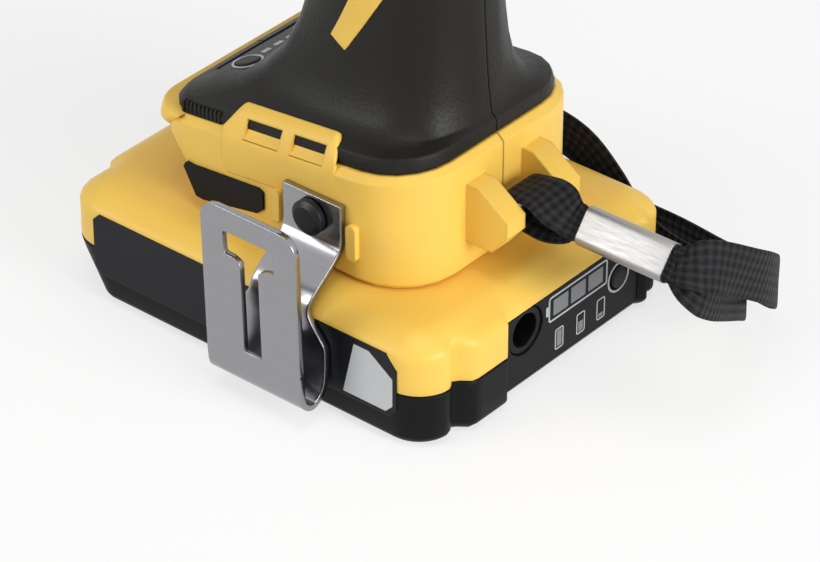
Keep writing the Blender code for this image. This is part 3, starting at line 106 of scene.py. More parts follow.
@dataclass
class Nodes:
    """Adds shader nodes to the tree of a material or of the world."""
    tree: bpy.types.NodeTree

    def add(self, kind: str, settings: Optional[Named] = None, **sockets: Any) -> Node:
        """Add one node with its settings, values and links.

        Args:
            kind: Blender's type name of the node.
            settings: properties of the node itself.
            sockets: values by name, with _ for a space, or by number as in i0; a socket is linked.
        Returns:
            The new node.
        """
        node = self.tree.nodes.new(kind)
        for name, value in (settings or {}).items():
            setattr(node, name, value)
        for name, value in sockets.items():
            numbered = name[0] == "i" and name[1:].isdigit()
            key: Any = int(name[1:]) if numbered else name.replace("_", " ")
            if isinstance(value, Socket):
                self.tree.links.new(value, node.inputs[key])
            else:
                node.inputs[key].default_value = value
        return node

    def math(self, operation: str, *values: Any) -> Socket:
        """Join numbers or sockets with a math node, and return its output."""
        sockets = {f"i{number}": value for number, value in enumerate(values)}
        return self.add("ShaderNodeMath", {"operation": operation}, **sockets).outputs[0]

    def mix(self, share: Socket, first: str, second: str) -> Socket:
        """Run between two hex colours; inputs 6 and 7 and output 2 of a mix node are colours."""
        return self.add("ShaderNodeMix", {"data_type": "RGBA"}, Factor=share, i6=linear(first),
                        i7=linear(second)).outputs[2]


class Grain(Enum):
    """How a moulded surface is textured."""
    SATIN = "satin"
    PEBBLED = "pebbled"


@dataclass(frozen=True)
class Finish:
    """A named material that is made once and then shared."""
    name: str
    colour: str
    shade: str
    roughness: float
    grain_mm: Any
    depth_mm: float
    edge_mm: float = 0.5

    def material(self) -> bpy.types.Material:
        """Find the material, or build its nodes the first time.

        Returns:
            The material.
        """
        found = bpy.data.materials.get(self.name)
        if found:
            return found
        made = bpy.data.materials.new(self.name)
        made.use_nodes = True
        nodes = Nodes(made.node_tree)
        nodes.tree.nodes.clear()
        shader = nodes.add("ShaderNodeBsdfPrincipled", **self.wire(nodes))
        nodes.add("ShaderNodeOutputMaterial", Surface=shader.outputs[0])
        return made

    def wire(self, nodes: Nodes) -> Named:
        """Add the nodes that feed the shader; each finish has its own."""
        raise NotImplementedError

    def coat(self, nodes: Nodes, share: Socket, height: Socket, gloss: Pair,
             strength: float) -> Named:
        """Make a tint, a gloss range and a bump over rounded edges.

        Args:
            nodes: nodes of the material.
            share: picks the tint.
            height: drives gloss and bump.
            gloss: least and greatest roughness.
            strength: strength of the bump.
        Returns:
            Inputs of the shader.
        """
        tint = nodes.mix(share, self.colour, self.shade)
        rough = nodes.add("ShaderNodeMapRange", Value=height, To_Min=gloss[0], To_Max=gloss[1])
        corner = nodes.add("ShaderNodeBevel", {"samples": BEVEL_SAMPLES}, Radius=self.edge_mm * MM)
        bump = nodes.add("ShaderNodeBump", Strength=strength, Distance=self.depth_mm * MM,
                         Height=height, Normal=corner.outputs[0])
        return {"Base_Color": tint, "Roughness": rough.outputs[0], "Normal": bump.outputs[0]}


@dataclass(frozen=True)
class Moulded(Finish):
    """Injection-moulded plastic or rubber: fine tool texture with slow shade changes."""
    grain: Grain = Grain.SATIN
    shine: float = 0.5

    def wire(self, nodes: Nodes) -> Named:
        """Noise at the grain size gives bump and gloss, a slow noise gives the shade.

        Args:
            nodes: nodes of the material.
        Returns:
            Inputs of the shader.
        """
        place = nodes.add("ShaderNodeTexCoord").outputs["Object"]
        slow = nodes.add("ShaderNodeTexNoise", Vector=place, Scale=PER_METRE / PATCH_MM, Detail=3.0)
        scale = PER_METRE / self.grain_mm
        if self.grain is Grain.PEBBLED:
            fine = nodes.add("ShaderNodeTexVoronoi", {"feature": "SMOOTH_F1"}, Vector=place,
                             Scale=scale, Smoothness=0.6).outputs["Distance"]
        else:
            fine = nodes.add("ShaderNodeTexNoise", Vector=place, Scale=scale,
                             Detail=4.0).outputs["Fac"]
        gloss = (self.roughness - 0.05, self.roughness + 0.06)
        coat = self.coat(nodes, slow.outputs["Fac"], fine, gloss, strength=0.5)
        return {**coat, "Specular_IOR_Level": self.shine}


@dataclass(frozen=True)
class Metal(Finish):
    """Rolled, cast or plated metal; its grain is the size of the streaks along x, y and z."""
    edge_mm: float = 0.25

    def wire(self, nodes: Nodes) -> Named:
        """Noise stretched along the rolling direction drives tint, gloss and bump.

        Args:
            nodes: nodes of the material.
        Returns:
            Inputs of the shader.
        """
        place = nodes.add("ShaderNodeTexCoord").outputs["Object"]
        turned = nodes.add("ShaderNodeMapping", Vector=place,
                           Scale=tuple(PER_METRE / size for size in self.grain_mm))
        streak = nodes.add("ShaderNodeTexNoise", Vector=turned.outputs[0], Scale=1.0,
                           Detail=4.0).outputs["Fac"]
        gloss = (self.roughness * 0.8, self.roughness * 1.25)
        return {**self.coat(nodes, streak, streak, gloss, strength=0.4), "Metallic": 1.0}


@dataclass(frozen=True)
class Woven(Finish):
    """Braided polyester tape: diamonds of thread that follow the tape's own UV."""

    def wire(self, nodes: Nodes) -> Named:
        """The product of two sine waves along u + v and u - v, in millimetres, makes the braid; its
        low parts are painted darker, painted shade between the threads.

        Args:
            nodes: nodes of the material.
        Returns:
            Inputs of the shader.
        """
        place = nodes.add("ShaderNodeUVMap", {"uv_map": "tape"}).outputs[0]
        u, v = nodes.add("ShaderNodeSeparateXYZ", Vector=place).outputs[:2]
        waves = []
        for lean in ("ADD", "SUBTRACT"):
            turn = nodes.math("MULTIPLY", nodes.math(lean, u, v), math.pi / self.grain_mm)
            waves.append(nodes.math("SINE", turn))
        height = nodes.add("ShaderNodeMapRange", Value=nodes.math("MULTIPLY", *waves),
                           From_Min=-1.0, From_Max=1.0).outputs[0]
        # The braid's low parts take the dark shade colour: painted shade between the threads
        tint = nodes.mix(height, self.shade, self.colour)
        bump = nodes.add("ShaderNodeBump", Strength=0.9, Distance=self.depth_mm * MM, Height=height)
        return {"Base_Color": tint, "Normal": bump.outputs[0], "Roughness": self.roughness,
                "Specular_IOR_Level": 0.15}


# Acrylonitrile plastic, satin moulded: soft highlights over a fine even texture
YELLOW_ABS = Moulded("satin_yellow_abs", "#F1C95E", "#EBBE50", 0.42, 0.35, 0.02, 0.7, shine=0.35)
# Thermoplastic rubber, matt moulded: broad dull highlights, a little grey
GRIP_RUBBER = Moulded("matt_grip_rubber", "#171614", "#1D1B19", 0.44, 0.7, 0.09, 0.7,
                      Grain.PEBBLED, 0.2)
# Glass-filled nylon, fine spark texture: near black with a grey sheen
BLACK_NYLON = Moulded("spark_black_nylon", "#0E0E10", "#131315", 0.40, 0.4, 0.03, shine=0.12)
# Polycarbonate film, printed on its back: glossy and even
PANEL_FILM = Moulded("printed_panel_film", "#17181C", "#1C1D22", 0.30, 0.25, 0.005, 0.3,
                     shine=0.15)
# Silk-screened ink, pale grey: flat and slightly rough
PALE_INK = Moulded("pale_screen_ink", "#C9CBCD", "#BFC2C5", 0.55, 0.3, 0.004, 0.1)
# Silk-screened ink, mid grey, as on a gauge window that is off
GREY_INK = Moulded("grey_gauge_window", "#7F8386", "#777B7F", 0.35, 0.3, 0.004, 0.1)
# Spring steel, bright nickel plated: mirror-like with faint rolling lines
NICKEL = Metal("bright_nickel_plate", "#D9D8D6", "#CFCDCB", 0.16, (9.0, 0.3, 0.3), 0.004)
# Spring steel of the hook, nickel plated: its colour is made darker than bright nickel, a painted
# dark reflection of its surroundings
HOOK_STEEL = Metal("hook_nickel_painted_dark_reflection", "#9C9C9F", "#929296", 0.22, (9.0, 0.3, 0.3), 0.003)
# Folded steel of the ferrule, tumbled before plating: soft, wide highlights
FERRULE_STEEL = Metal("soft_nickel_plate", "#A3A2A1", "#989796", 0.42, (4.0, 0.4, 0.4), 0.006)
# Carbon steel, blackened: dark with a dull shine
BLACK_STEEL = Metal("blackened_steel", "#3A3A3C", "#303032", 0.42, (1.0, 1.0, 1.0), 0.01)
# Ground bearing and gear steel
GROUND_STEEL = Metal("ground_steel", "#BDBDC0", "#AEAEB2", 0.28, (0.4, 6.0, 6.0), 0.006)
# Die-cast aluminium, bead blasted: pale and dull
CAST_ALLOY = Metal("die_cast_aluminium", "#A9AAAC", "#9C9DA0", 0.48, (0.8, 0.8, 0.8), 0.03, 0.6)
# Rolled copper alloy
COPPER = Metal("rolled_copper", "#C98D66", "#BD8059", 0.30, (5.0, 0.4, 0.4), 0.005)
# Solder mask over glass-fibre board
BOARD = Moulded("green_solder_mask", "#1E6B46", "#195C3C", 0.45, 0.5, 0.01, 0.2)
# Shrink film round a battery cell
CELL_FILM = Moulded("blue_cell_film", "#3D7FB0", "#3778A8", 0.30, 0.8, 0.01, 0.3)
# Acrylic lens
LENS = Moulded("clear_acrylic_lens", "#E4E7EA", "#DDE1E5", 0.12, 0.6, 0.003, 0.3)
# Braided polyester tape; the 2 mm thread is drawn a little coarse so that it shows
TAPE = Woven("braided_black_tape", "#2B2B2E", "#020203", 0.6, 2.0, 0.5)

SLOT_FINISH: Dict[str, Finish] = {
    "yellow_abs": YELLOW_ABS, "black_rubber": GRIP_RUBBER, "black_plastic": BLACK_NYLON,
    "panel_film": PANEL_FILM, "nickel_steel": NICKEL, "dark_steel": BLACK_STEEL,
    "bright_steel": GROUND_STEEL, "cast_aluminium": CAST_ALLOY, "copper": COPPER,
    "board_green": BOARD, "cell_wrap": CELL_FILM, "clear_lens": LENS, "webbing": TAPE,
}


class Wear(NamedTuple):
    """The CAD body that carries a piece, its material slot in the record, and its finish."""
    body: str
    slot: str
    finish: Finish


TOOL_YELLOW = Wear("tool", "yellow_abs", YELLOW_ABS)
PACK_YELLOW = Wear("battery", "yellow_abs", YELLOW_ABS)
PACK_PALE = Wear("battery", "panel_film", PALE_INK)
PACK_GREY = Wear("battery", "panel_film", GREY_INK)
TOOL_PALE = Wear("tool", "panel_film", PALE_INK)

# Outer CAD nodes that are shown as copies with round shading
ROUNDED_NODES = (
    "housing_left", "housing_right", "grip_left", "grip_right", "hammer_case", "rear_cap",
    "nose_bumper", "trigger", "belt_hook_screw", "anvil", "direction_button", "mode_button",
    "light_button", "gauge_button", "charge_jack", "control_panel")


def ease(values: Array, start: float, end: float) -> Array:
    """Smooth step that goes from 0 at start to 1 at end."""
    share = np.clip((values - start) / (end - start), 0.0, 1.0)
    return share * share * (3.0 - 2.0 * share)


def outward(outline: Array) -> Array:
    """Unit normals of a closed counter-clockwise outline, one for each point."""
    along = np.roll(outline, -1, axis=0) - np.roll(outline, 1, axis=0)
    return np.stack([along[:, 1], -along[:, 0]], axis=1) / np.linalg.norm(along, axis=1)[:, None]


def catmull(points: Array, steps: int) -> Array:
    """Catmull-Rom curve through the points, with even steps in each span.

    Args:
        points: one row for each control point, with any number of columns.
        steps: samples in each span.
    Returns:
        The sampled rows, the last control point included.
    """
    padded = np.vstack([points[:1], points, points[-1:]])
    p, q, r, s = padded[:-3, None], padded[1:-2, None], padded[2:-1, None], padded[3:, None]
    t = (np.arange(steps) / steps)[None, :, None]
    rows = 0.5 * (2 * q + (r - p) * t + (2 * p - 5 * q + 4 * r - s) * t ** 2
                  + (3 * q - p - 3 * r + s) * t ** 3)
    return np.vstack([rows.reshape(-1, points.shape[1]), points[-1:]])


def rounded_plan(front: float, rear: float, half: float, corner: float, side_steps: int = 40,
                 corner_steps: int = 14) -> Array:
    """Rounded rectangle in plan, counter-clockwise from the right rear side.

    Each corner is a quarter circle, each side an even row of points.
    Args:
        front: least x.
        rear: greatest x.
        half: half of the width in y.
        corner: corner radius.
        side_steps: points along each straight side.
        corner_steps: points along each quarter circle.
    Returns:
        One row of x and y for each point.
    """
    corner = max(corner, LEAST_CORNER)
    quarter = math.pi / 2
    turns = np.linspace(0.0, quarter, corner_steps)
    centres = [(rear - corner, half - corner), (front + corner, half - corner),
               (front + corner, corner - half), (rear - corner, corner - half)]
    arcs = []
    for number, (x, y) in enumerate(centres):
        angles = turns + number * quarter
        arcs.append(np.stack([x + corner * np.cos(angles), y + corner * np.sin(angles)], 1))
    share = np.linspace(0.0, 1.0, side_steps + 2)[1:-1, None]
    sides = [arcs[k][-1] * (1 - share) + arcs[(k + 1) % 4][0] * share for k in range(4)]
    return np.vstack([row for pair in zip(arcs, sides) for row in pair])


def rounded_box(low: Pair, high: Pair, corner: float) -> Array:
    """Rounded rectangle between two opposite corners, counter-clockwise."""
    plan = rounded_plan(low[0], high[0], (high[1] - low[1]) / 2, corner, side_steps=2,
                        corner_steps=5)
    return plan + (0.0, (low[1] + high[1]) / 2)


def circle(middle: Pair, radius: float, steps: int = 40) -> Array:
    """Circle with a number of even steps, counter-clockwise."""
    turn = np.linspace(0.0, 2.0 * math.pi, steps, endpoint=False)
    return np.stack([middle[0] + radius * np.cos(turn), middle[1] + radius * np.sin(turn)], axis=1)


def grid_piece(name: str, grid: Array, wear: Wear, closed: bool = True,
               caps: Tuple[bool, bool] = (True, True), uv: Optional[Array] = None,
               keep: Optional[Array] = None) -> Item:
    """Write a grid of points as a smooth mesh that rides on a body.

    Args:
        name: name of the piece.
        grid: rows by columns by 3, in millimetres.
        wear: body, slot and finish of the piece.
        closed: join the last column to the first.
        caps: close the first row and the last row with one face each.
        uv: rows by columns by 2 map, stored as "tape".
        keep: faces to write, true or false for each cell of the grid.
    Returns:
        The new object.
    """
    body, slot, finish = wear
    rows, columns = grid.shape[:2]
    index = np.arange(rows * columns).reshape(rows, columns)
    after = np.roll(index, -1, axis=1) if closed else index[:, 1:]
    before = index if closed else index[:, :-1]
    quads = np.stack([before[:-1], after[:-1], after[1:], before[1:]], axis=-1).reshape(-1, 4)
    if keep is not None:
        quads = quads[keep.ravel()]
    faces: List[List[int]] = quads.tolist()
    if closed:
        ends = [index[0][::-1].tolist(), index[-1].tolist()]
        faces += [end for end, wanted in zip(ends, caps) if wanted]
    mesh = bpy.data.meshes.new(name)
    mesh.from_pydata((grid.reshape(-1, 3) * MM).tolist(), [], faces)
    if uv is not None:
        layer = mesh.uv_layers.new(name="tape")
        corners = np.zeros(len(mesh.loops), dtype=np.int32)
        mesh.loops.foreach_get("vertex_index", corners)
        layer.data.foreach_set("uv", uv.reshape(-1, 2)[corners].astype(np.float32).ravel())
    mesh.shade_smooth()
    mesh.set_sharp_from_angle(angle=math.radians(CRISP_DEGREES))
    mesh.update()
    piece = bpy.data.objects.new(name, mesh)
    bpy.context.scene.collection.objects.link(piece)
    piece.data.materials.append(finish.material())
    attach(piece, body)
    LOG.info("built %s: %d points on %s", name, rows * columns, body)
    return piece


def smooth_copy(node: Item, body: str, angle: float = 36.0) -> Item:
    """Show a CAD node as a merged copy whose gentle edges are shaded round.

    Args:
        node: CAD object.
        body: CAD body that carries it.
        angle: edges sharper than this many degrees stay crisp.
    Returns:
        The copy that stands for the node.
    """
    mesh = node.data.copy()
    work = bmesh.new()
    work.from_mesh(mesh)
    bmesh.ops.remove_doubles(work, verts=work.verts, dist=MERGE_MM * MM)
    work.to_mesh(mesh)
    work.free()
    if mesh.has_custom_normals:
        mesh.normals_split_custom_set([(0.0, 0.0, 0.0)] * len(mesh.loops))
        mesh.attributes.remove(mesh.attributes["custom_normal"])
    mesh.shade_smooth()
    mesh.set_sharp_from_angle(angle=math.radians(angle))
    piece = bpy.data.objects.new(f"{node.name}_skin", mesh)
    bpy.context.scene.collection.objects.link(piece)
    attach(piece, body)
    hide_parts(node.name)
    return piece


def add_thickness(piece: Item, thick: float, offset: float, edge: float) -> None:
    """Give a sheet its thickness and small round edges.

    Args:
        piece: sheet.
        thick: thickness in millimetres.
        offset: -1 grows inwards, 0 both ways, 1 outwards.
        edge: edge radius in millimetres.
    """
    solid = piece.modifiers.new("thickness", "SOLIDIFY")
    solid.thickness, solid.offset = thick * MM, offset
    bevel = piece.modifiers.new("edges", "BEVEL")
    bevel.width, bevel.segments, bevel.limit_method = edge * MM, 2, "ANGLE"
    bevel.angle_limit = math.radians(ROUND_DEGREES)


@dataclass(frozen=True)
class Plane:
    """A flat face of the tool on which plates and prints lie."""
    origin: Point
    u: Point
    v: Point

    def place(self, flat: Array, height: float) -> Array:
        """Lift points in u and v along the face's normal, into x, y and z."""
        u, v = np.array(self.u), np.array(self.v)
        return np.array(self.origin) + flat[:, :1] * u + flat[:, 1:] * v + height * np.cross(u, v)

    def plate(self, name: str, outline: Array, low: float, high: float, wear: Wear) -> Item:
        """Extrude a counter-clockwise outline in u and v from low to high above the face."""
        rows = [self.place(outline, low), self.place(outline, high)]
        return grid_piece(name, np.stack(rows), wear)

    def mark(self, name: str, low: Pair, high: Pair, corner: float, wear: Wear) -> None:
        """Print a filled rounded rectangle on the face, between two opposite corners."""
        self.plate(name, rounded_box(low, high, corner), PRINT_LOW, PRINT_HIGH, wear)

    def line(self, name: str, outline: Array, width: float, wear: Wear) -> None:
        """Print a closed line of even width on the face.

        The outline is moved out and in by half of the width along its own normals.
        Args:
            name: name of the piece.
            outline: counter-clockwise points in u and v.
            width: width of the line.
            wear: body, slot and ink.
        """
        side = outward(outline) * width / 2
        rows = [self.place(outline + side, PRINT_LOW), self.place(outline + side, PRINT_HIGH),
                self.place(outline - side, PRINT_HIGH), self.place(outline - side, PRINT_LOW)]
        grid_piece(name, np.stack(rows), wear, caps=(False, False))


def side_plate(name: str, outline: Array, wall: float, span: Pair, wear: Wear) -> Item:
    """Extrude an outline in x and z from an upright wall of the tool.

    Args:
        name: name of the piece.
        outline: points in x and z, counter-clockwise as seen from the left of the tool.
        wall: y of the wall, negative on the left.
        span: heights of its back and its front above the wall.
        wear: body, slot and finish of the piece.
    Returns:
        The plate.
    """
    side = math.copysign(1.0, wall)
    face = Plane((0.0, wall, 0.0), (-side, 0.0, 0.0), (0.0, 0.0, 1.0))
    shape = outline * (-side, 1.0)
    return face.plate(name, shape[::-1] if side > 0 else shape, span[0], span[1], wear)


# Height of the tape's middle where it stands on the floor
TAPE_LOW = 6.6
# Free part of the hand loop in x, y and z; there the tape's width is upright
HAND_LOOP = np.array([
    (81.6, 13, 36), (81, 22.5, 29.5), (77.5, 31.5, 22.5), (72, 39, 15.5), (64, 45.5, 9.5),
    (52, 49.5, 6.9), (38, 51.3, TAPE_LOW), (24, 51.3, TAPE_LOW), (8, 50.6, TAPE_LOW), (-6, 50.2, 8),
    (-15, 49.5, 11), (-19.5, 47.2, 15), (-15, 45, 19.5), (-6, 44.4, 24), (5, 44.3, 26.5),
    (15, 44.4, 25), (22.5, 44.6, 19), (29, 44.8, 11.5), (38, 44.8, 7.2), (52, 43.4, TAPE_LOW),
    (66, 35.8, 12), (73, 26, 19.7), (77, 15, 27)])
# Ends of the loop beside the ferrule: x, y and z, then the direction of the width
LOOP_START = np.array([(78.5, 0.6, 42.2, -0.15, 0.75, 0.6), (80.8, 4.5, 41.2, -0.3, 0.25, 0.9)])
LOOP_END = np.array([(79.5, 6, 33, 0, 0.2, 1), (79, 1.5, 37, -0.2, 0.6, 0.75)])


@dataclass
class WristStrap:
    """Braided tape round the pin, through the ferrule and round the hand loop."""
    width: float = 11.0
    thick: float = 1.2
    section_powers: Pair = (0.3, 0.6)
    section_points: int = 24
    pin: Point = (35.0, 0.0, 41.0)
    wrap_radius: float = 2.9
    wrap_degrees: Point = (172.0, 135.0, 100.0)
    lift: float = 0.75
    ferrule: Pair = (51.0, 73.0)
    roll: float = 52.0
    squeeze: float = 0.33
    squeeze_taper: float = 8.0
    squeeze_reach: Pair = (4.0, 10.0)
    clamp_half: Pair = (4.4, 2.2)
    clamp_corner: float = 1.7
    clamp_wall: float = 0.6

    def route(self) -> Array:
        """Join the wrap round the pin, both legs through the ferrule and the hand loop.

        The lower leg is the upper one turned half round the ferrule's axis.
        Returns:
            One row for each control point: x, y and z, then the direction of the width.
        """
        angles = np.radians(self.wrap_degrees)
        turn = np.stack([self.pin[0] + self.wrap_radius * np.cos(angles),
                         self.wrap_radius * np.sin(angles)], 1)
        start, end = self.ferrule
        leg = np.array([(self.pin[0] + 6.5, 4.0), (start - 4.0, 2.6), (start, self.lift),
                        (end, self.lift), (end + 2.0, self.lift)])
        upper = np.vstack([turn, leg])
        roll = np.radians([0.0, 0.0, 0.0, 12.0, 38.0, self.roll, self.roll, self.roll])
        rows = np.zeros((len(upper), 6))
        rows[:, 0], rows[:, 1] = upper[:, 0], -upper[:, 1] * np.sin(roll)
        rows[:, 2] = self.pin[2] + upper[:, 1] * np.cos(roll)
        rows[:, 4], rows[:, 5] = np.cos(roll), np.sin(roll)
        lower = rows[::-1].copy()
        lower[:, 1] *= -1.0
        lower[:, 2] = 2 * self.pin[2] - lower[:, 2]
        upright = np.tile((0.0, 0.0, 1.0), (len(HAND_LOOP), 1))
        return np.vstack([rows, LOOP_START, np.hstack([HAND_LOOP, upright]), LOOP_END, lower])

    def build(self) -> None:
        """The section is a superellipse: powers of cosine and sine, times width and thickness.
        """
        rows = catmull(self.route(), steps=8)
        path, wide = rows[:, :3], rows[:, 3:]
        along = np.gradient(path, axis=0)
        along /= np.linalg.norm(along, axis=1)[:, None]
        wide = wide - along * np.sum(wide * along, axis=1)[:, None]
        wide /= np.linalg.norm(wide, axis=1)[:, None]
        normal = np.cross(along, wide)
        turn = np.linspace(0.0, 2.0 * math.pi, self.section_points + 1)[:-1]
        cos, sin, powers = np.cos(turn), np.sin(turn), self.section_powers
        across = np.sign(cos) * np.abs(cos) ** powers[0] * self.width / 2
        height = np.sign(sin) * np.abs(sin) ** powers[1] * self.thick / 2
        start, end = self.ferrule
        near = 1.0 - ease(np.abs(path[:, 1]), *self.squeeze_reach)
        held = (ease(path[:, 0], start - self.squeeze_taper, start)
                * (1.0 - ease(path[:, 0], end, end + self.squeeze_taper)))
        wide = wide * (1.0 - self.squeeze * near * held)[:, None]
        grid = (path[:, None] + across[None, :, None] * wide[:, None]
                + height[None, :, None] * normal[:, None])
        step = np.linalg.norm(np.diff(path, axis=0), axis=1)
        reach = np.concatenate([[0.0], np.cumsum(step)])
        uv = np.stack(np.broadcast_arrays(reach[:, None], across[None, :]), axis=-1)
        tape = grid_piece("wrist_tape", grid, Wear("tool", "webbing", TAPE), uv=uv)
        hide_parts("wrist_strap")
        self.clamp()

    def clamp(self) -> Item:
        """Sweep a rounded section along x as the folded steel ferrule.

        The section is a rounded rectangle that is rolled about x like the tape inside it.
        Returns:
            The ferrule.
        """
        half, height = self.clamp_half
        outer = rounded_plan(-half, half, height, self.clamp_corner, side_steps=4, corner_steps=8)
        inner = outer * (1.0 - self.clamp_wall / np.array(self.clamp_half))
        edge, inside, chamfer = outer * 0.985, 0.6, 0.2
        angle = math.radians(self.roll)
        start, end = self.ferrule
        stations = ((inner, start + inside), (inner, start), (edge, start),
                    (outer, start + chamfer), (outer, end - chamfer), (edge, end), (inner, end),
                    (inner, end - inside))
        rings = []
        for section, x in stations:
            y = section[:, 0] * math.cos(angle) - section[:, 1] * math.sin(angle)
            z = self.pin[2] + section[:, 0] * math.sin(angle) + section[:, 1] * math.cos(angle)
            rings.append(np.column_stack([np.full(len(section), x), y, z]))
        wear = Wear("tool", "nickel_steel", FERRULE_STEEL)
        piece = grid_piece("strap_clamp", np.stack(rings), wear, caps=(False, False))
        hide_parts("strap_ferrule")
        return piece


@dataclass
class PackShell:
    """Outer skin of the battery: yellow cover, black tray and the slide rail."""
    rear: float = 42.0
    front: float = -60.5
    half: float = 41.0
    corner: float = 9.0
    split: float = 13.0
    top: float = 26.2
    base: float = 0.5
    slope: float = 8.0
    nose_half: float = 26.0
    nose_reach: float = 2.0
    gauge: Point = (-15.0, 31.0, 20.0)
    gauge_low: float = 2.5
    pillar_start: Pair = (-30.5, -26.5)
    pillar_out: float = 2.0
    valleys: Tuple[Pair, ...] = ((-30.0, 1.8), (35.0, 1.6))
    valley_in: float = 1.7

    def behind_gauge(self, grid: Array) -> Array:
        """Find the cells whose middle lies behind the gauge panel.

        Args:
            grid: rings of the skin.
        Returns:
            True for each such cell.
        """
        ahead = np.roll(grid, -1, axis=1)
        middle = 0.25 * (grid[:-1] + grid[1:] + ahead[:-1] + ahead[1:])
        x, y, z = middle[..., 0], middle[..., 1], middle[..., 2]
        left, right, high = self.gauge
        across = (y > left) & (y < right) & (x > self.rear - 4.0)
        return across & (z > self.gauge_low) & (z < high)

    def ring(self, inset: float, level: float) -> Array:
        """One level of the skin.

        The plan is a rounded rectangle drawn in by the inset, with points on the gauge panel's
        edges. At the back, two convex pillars stand out of it and valleys sink in beside them,
        at the front a flat nose stands out, and the tray's front leans back.
        Args:
            inset: how far the outline is drawn in.
            level: height of the ring.
        Returns:
            Points of the ring in x, y and z.
        """
        plan = rounded_plan(self.front + inset, self.rear - inset, self.half - inset,
                            self.corner - inset)
        x, y = plan[:, 0].copy(), plan[:, 1].copy()
        left, right = self.gauge[:2]
        out_of_reach = 1e3
        for edge in (left, right):
            y[np.argmin(np.abs(y - edge) + out_of_reach * (x < self.rear - 9.0))] = edge
        fade = 1.0 - ease(np.array(level), self.top - 4.5, self.top - 0.3)
        pillar = (ease(y, *self.pillar_start) * (1 - ease(y, left - 1.4, left - 0.3))
                  + 0.8 * ease(y, right + 0.3, right + 1.6))
        valley = sum(np.exp(-((y - middle) / width) ** 2) for middle, width in self.valleys)
        at_back = ease(x, self.rear - 13.0, self.rear - 5.0 - inset)
        x += at_back * fade * (self.pillar_out * pillar - self.valley_in * valley)
        nose = 1.0 - ease(np.abs(y), self.nose_half - 2.5, self.nose_half + 0.5)
        at_front = 1.0 - ease(x, self.front + 1.0 + inset, self.front + 10.0 + inset)
        above = ease(np.array(level), self.split - 1.5, self.split + 1.0)
        x -= at_front * nose * self.nose_reach * above
        rise = np.clip((level - self.base) / (self.split - 1.5), 0.0, 1.0)
        x += self.slope * (1.0 - rise) * (1.0 - ease(x, self.front, self.front + 22.0))
        return np.stack([x, y, np.full_like(x, level)], axis=1)

    def skin(self, name: str, levels: List[Pair], caps: Tuple[bool, bool], wear: Wear) -> Item:
        """Stack rings of inset and height, leaving the charge socket behind the gauge open."""
        grid = np.stack([self.ring(inset, level) for inset, level in levels])
        return grid_piece(name, grid, wear, caps=caps, keep=~self.behind_gauge(grid))

    def build(self) -> None:
        """Make the cover with its round shoulder, the chamfered tray and the grooved rail."""
        split, top, base = self.split, self.top, self.base
        levels = [(0.25, split), (0.0, split + 0.3), (0.0, 15.0), (0.0, 18.0), (0.0, 20.0),
                  (0.0, 21.6), (0.25, 22.4), (0.9, 23.2), (1.9, 24.0), (3.0, 24.8), (4.2, 25.5),
                  (5.6, 25.95), (7.2, top), (12.0, top)]
        cover = self.skin("pack_cover_skin", levels, (False, True), PACK_YELLOW)
        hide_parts("battery_cover")
        levels = [(10.0, base), (2.0, base), (1.2, base + 0.25), (0.5, base + 0.9),
                  (0.1, base + 1.6), (0.0, self.gauge_low), (0.0, 6.0), (0.0, 8.5), (0.0, 10.5),
                  (0.0, split - 0.4), (0.3, split - 0.15), (2.4, split - 0.15)]
        black = Wear("battery", "black_plastic", BLACK_NYLON)
        tray = self.skin("pack_tray_skin", levels, (True, False), black)
        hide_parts("battery_tray")
        flank = np.array([(21.0, 25.5), (21.0, 31.0), (17.5, 31.0), (17.5, 35.0), (21.0, 35.0),
                          (21.0, 40.0)])
        section = np.vstack([flank, flank[::-1] * (-1.0, 1.0)])
        rail = [np.column_stack([np.full(len(section), x), section]) for x in (-37.0, 10.0)]
        grid_piece("pack_slide_rail", np.stack(rail), PACK_YELLOW)


@dataclass
class Prints:
    """Screen-printed marks of the charge gauge and of the control strip."""
    gauge: Plane = Plane((42.0, 0.0, 0.0), (0.0, 1.0, 0.0), (0.0, 0.0, 1.0))
    strip: Plane = Plane((-33.4, 0.0, 52.54), (0.0, -1.0, 0.0),
                         (math.cos(STRIP_TILT), 0.0, math.sin(STRIP_TILT)))
    cell_starts: Point = (1.4, 7.4, 13.4)
    icon_middles: Point = (3.6, 11.0, 18.0)
    button_spread: float = 10.0
    lamp_pitch: float = 4.0

    def build(self) -> None:
        """Draw the battery with its windows, small batteries, button rings and lamp windows."""
        gauge, strip = self.gauge, self.strip
        gauge.line("gauge_frame", rounded_box((0.0, 12.6), (19.8, 18.6), 0.6), 0.45, PACK_PALE)
        gauge.mark("gauge_frame_tip", (-1.1, 14.4), (-0.1, 16.8), 0.3, PACK_PALE)
        for number, start in enumerate(self.cell_starts):
            gauge.mark(f"gauge_window_{number + 1}", (start, 13.6), (start + 5.0, 17.6), 0.3,
                       PACK_GREY)
        for number, middle in enumerate(self.icon_middles):
            frame = rounded_box((middle - 1.3, 4.4), (middle + 1.3, 9.4), 0.4)
            gauge.line(f"gauge_icon_{number + 1}", frame, 0.3, PACK_PALE)
            full = 9.0 - 1.6 * number
            gauge.mark(f"gauge_level_{number + 1}", (middle - 0.8, 4.9), (middle + 0.8, full), 0.2,
                       PACK_GREY)
        gauge.line("gauge_button_ring", circle((24.0, 12.0), 3.5), 0.5, PACK_PALE)
        for name, side in SIDES:
            spot = (-side * self.button_spread, 0.0)
            strip.line(f"strip_ring_{name}", circle(spot, 3.3), 0.6, TOOL_PALE)
        for number in range(3):
            middle = self.lamp_pitch * (number - 1)
            strip.mark(f"strip_lamp_{number + 1}", (middle - 1.2, -0.7), (middle + 1.2, 0.7), 0.2,
                       TOOL_PALE)


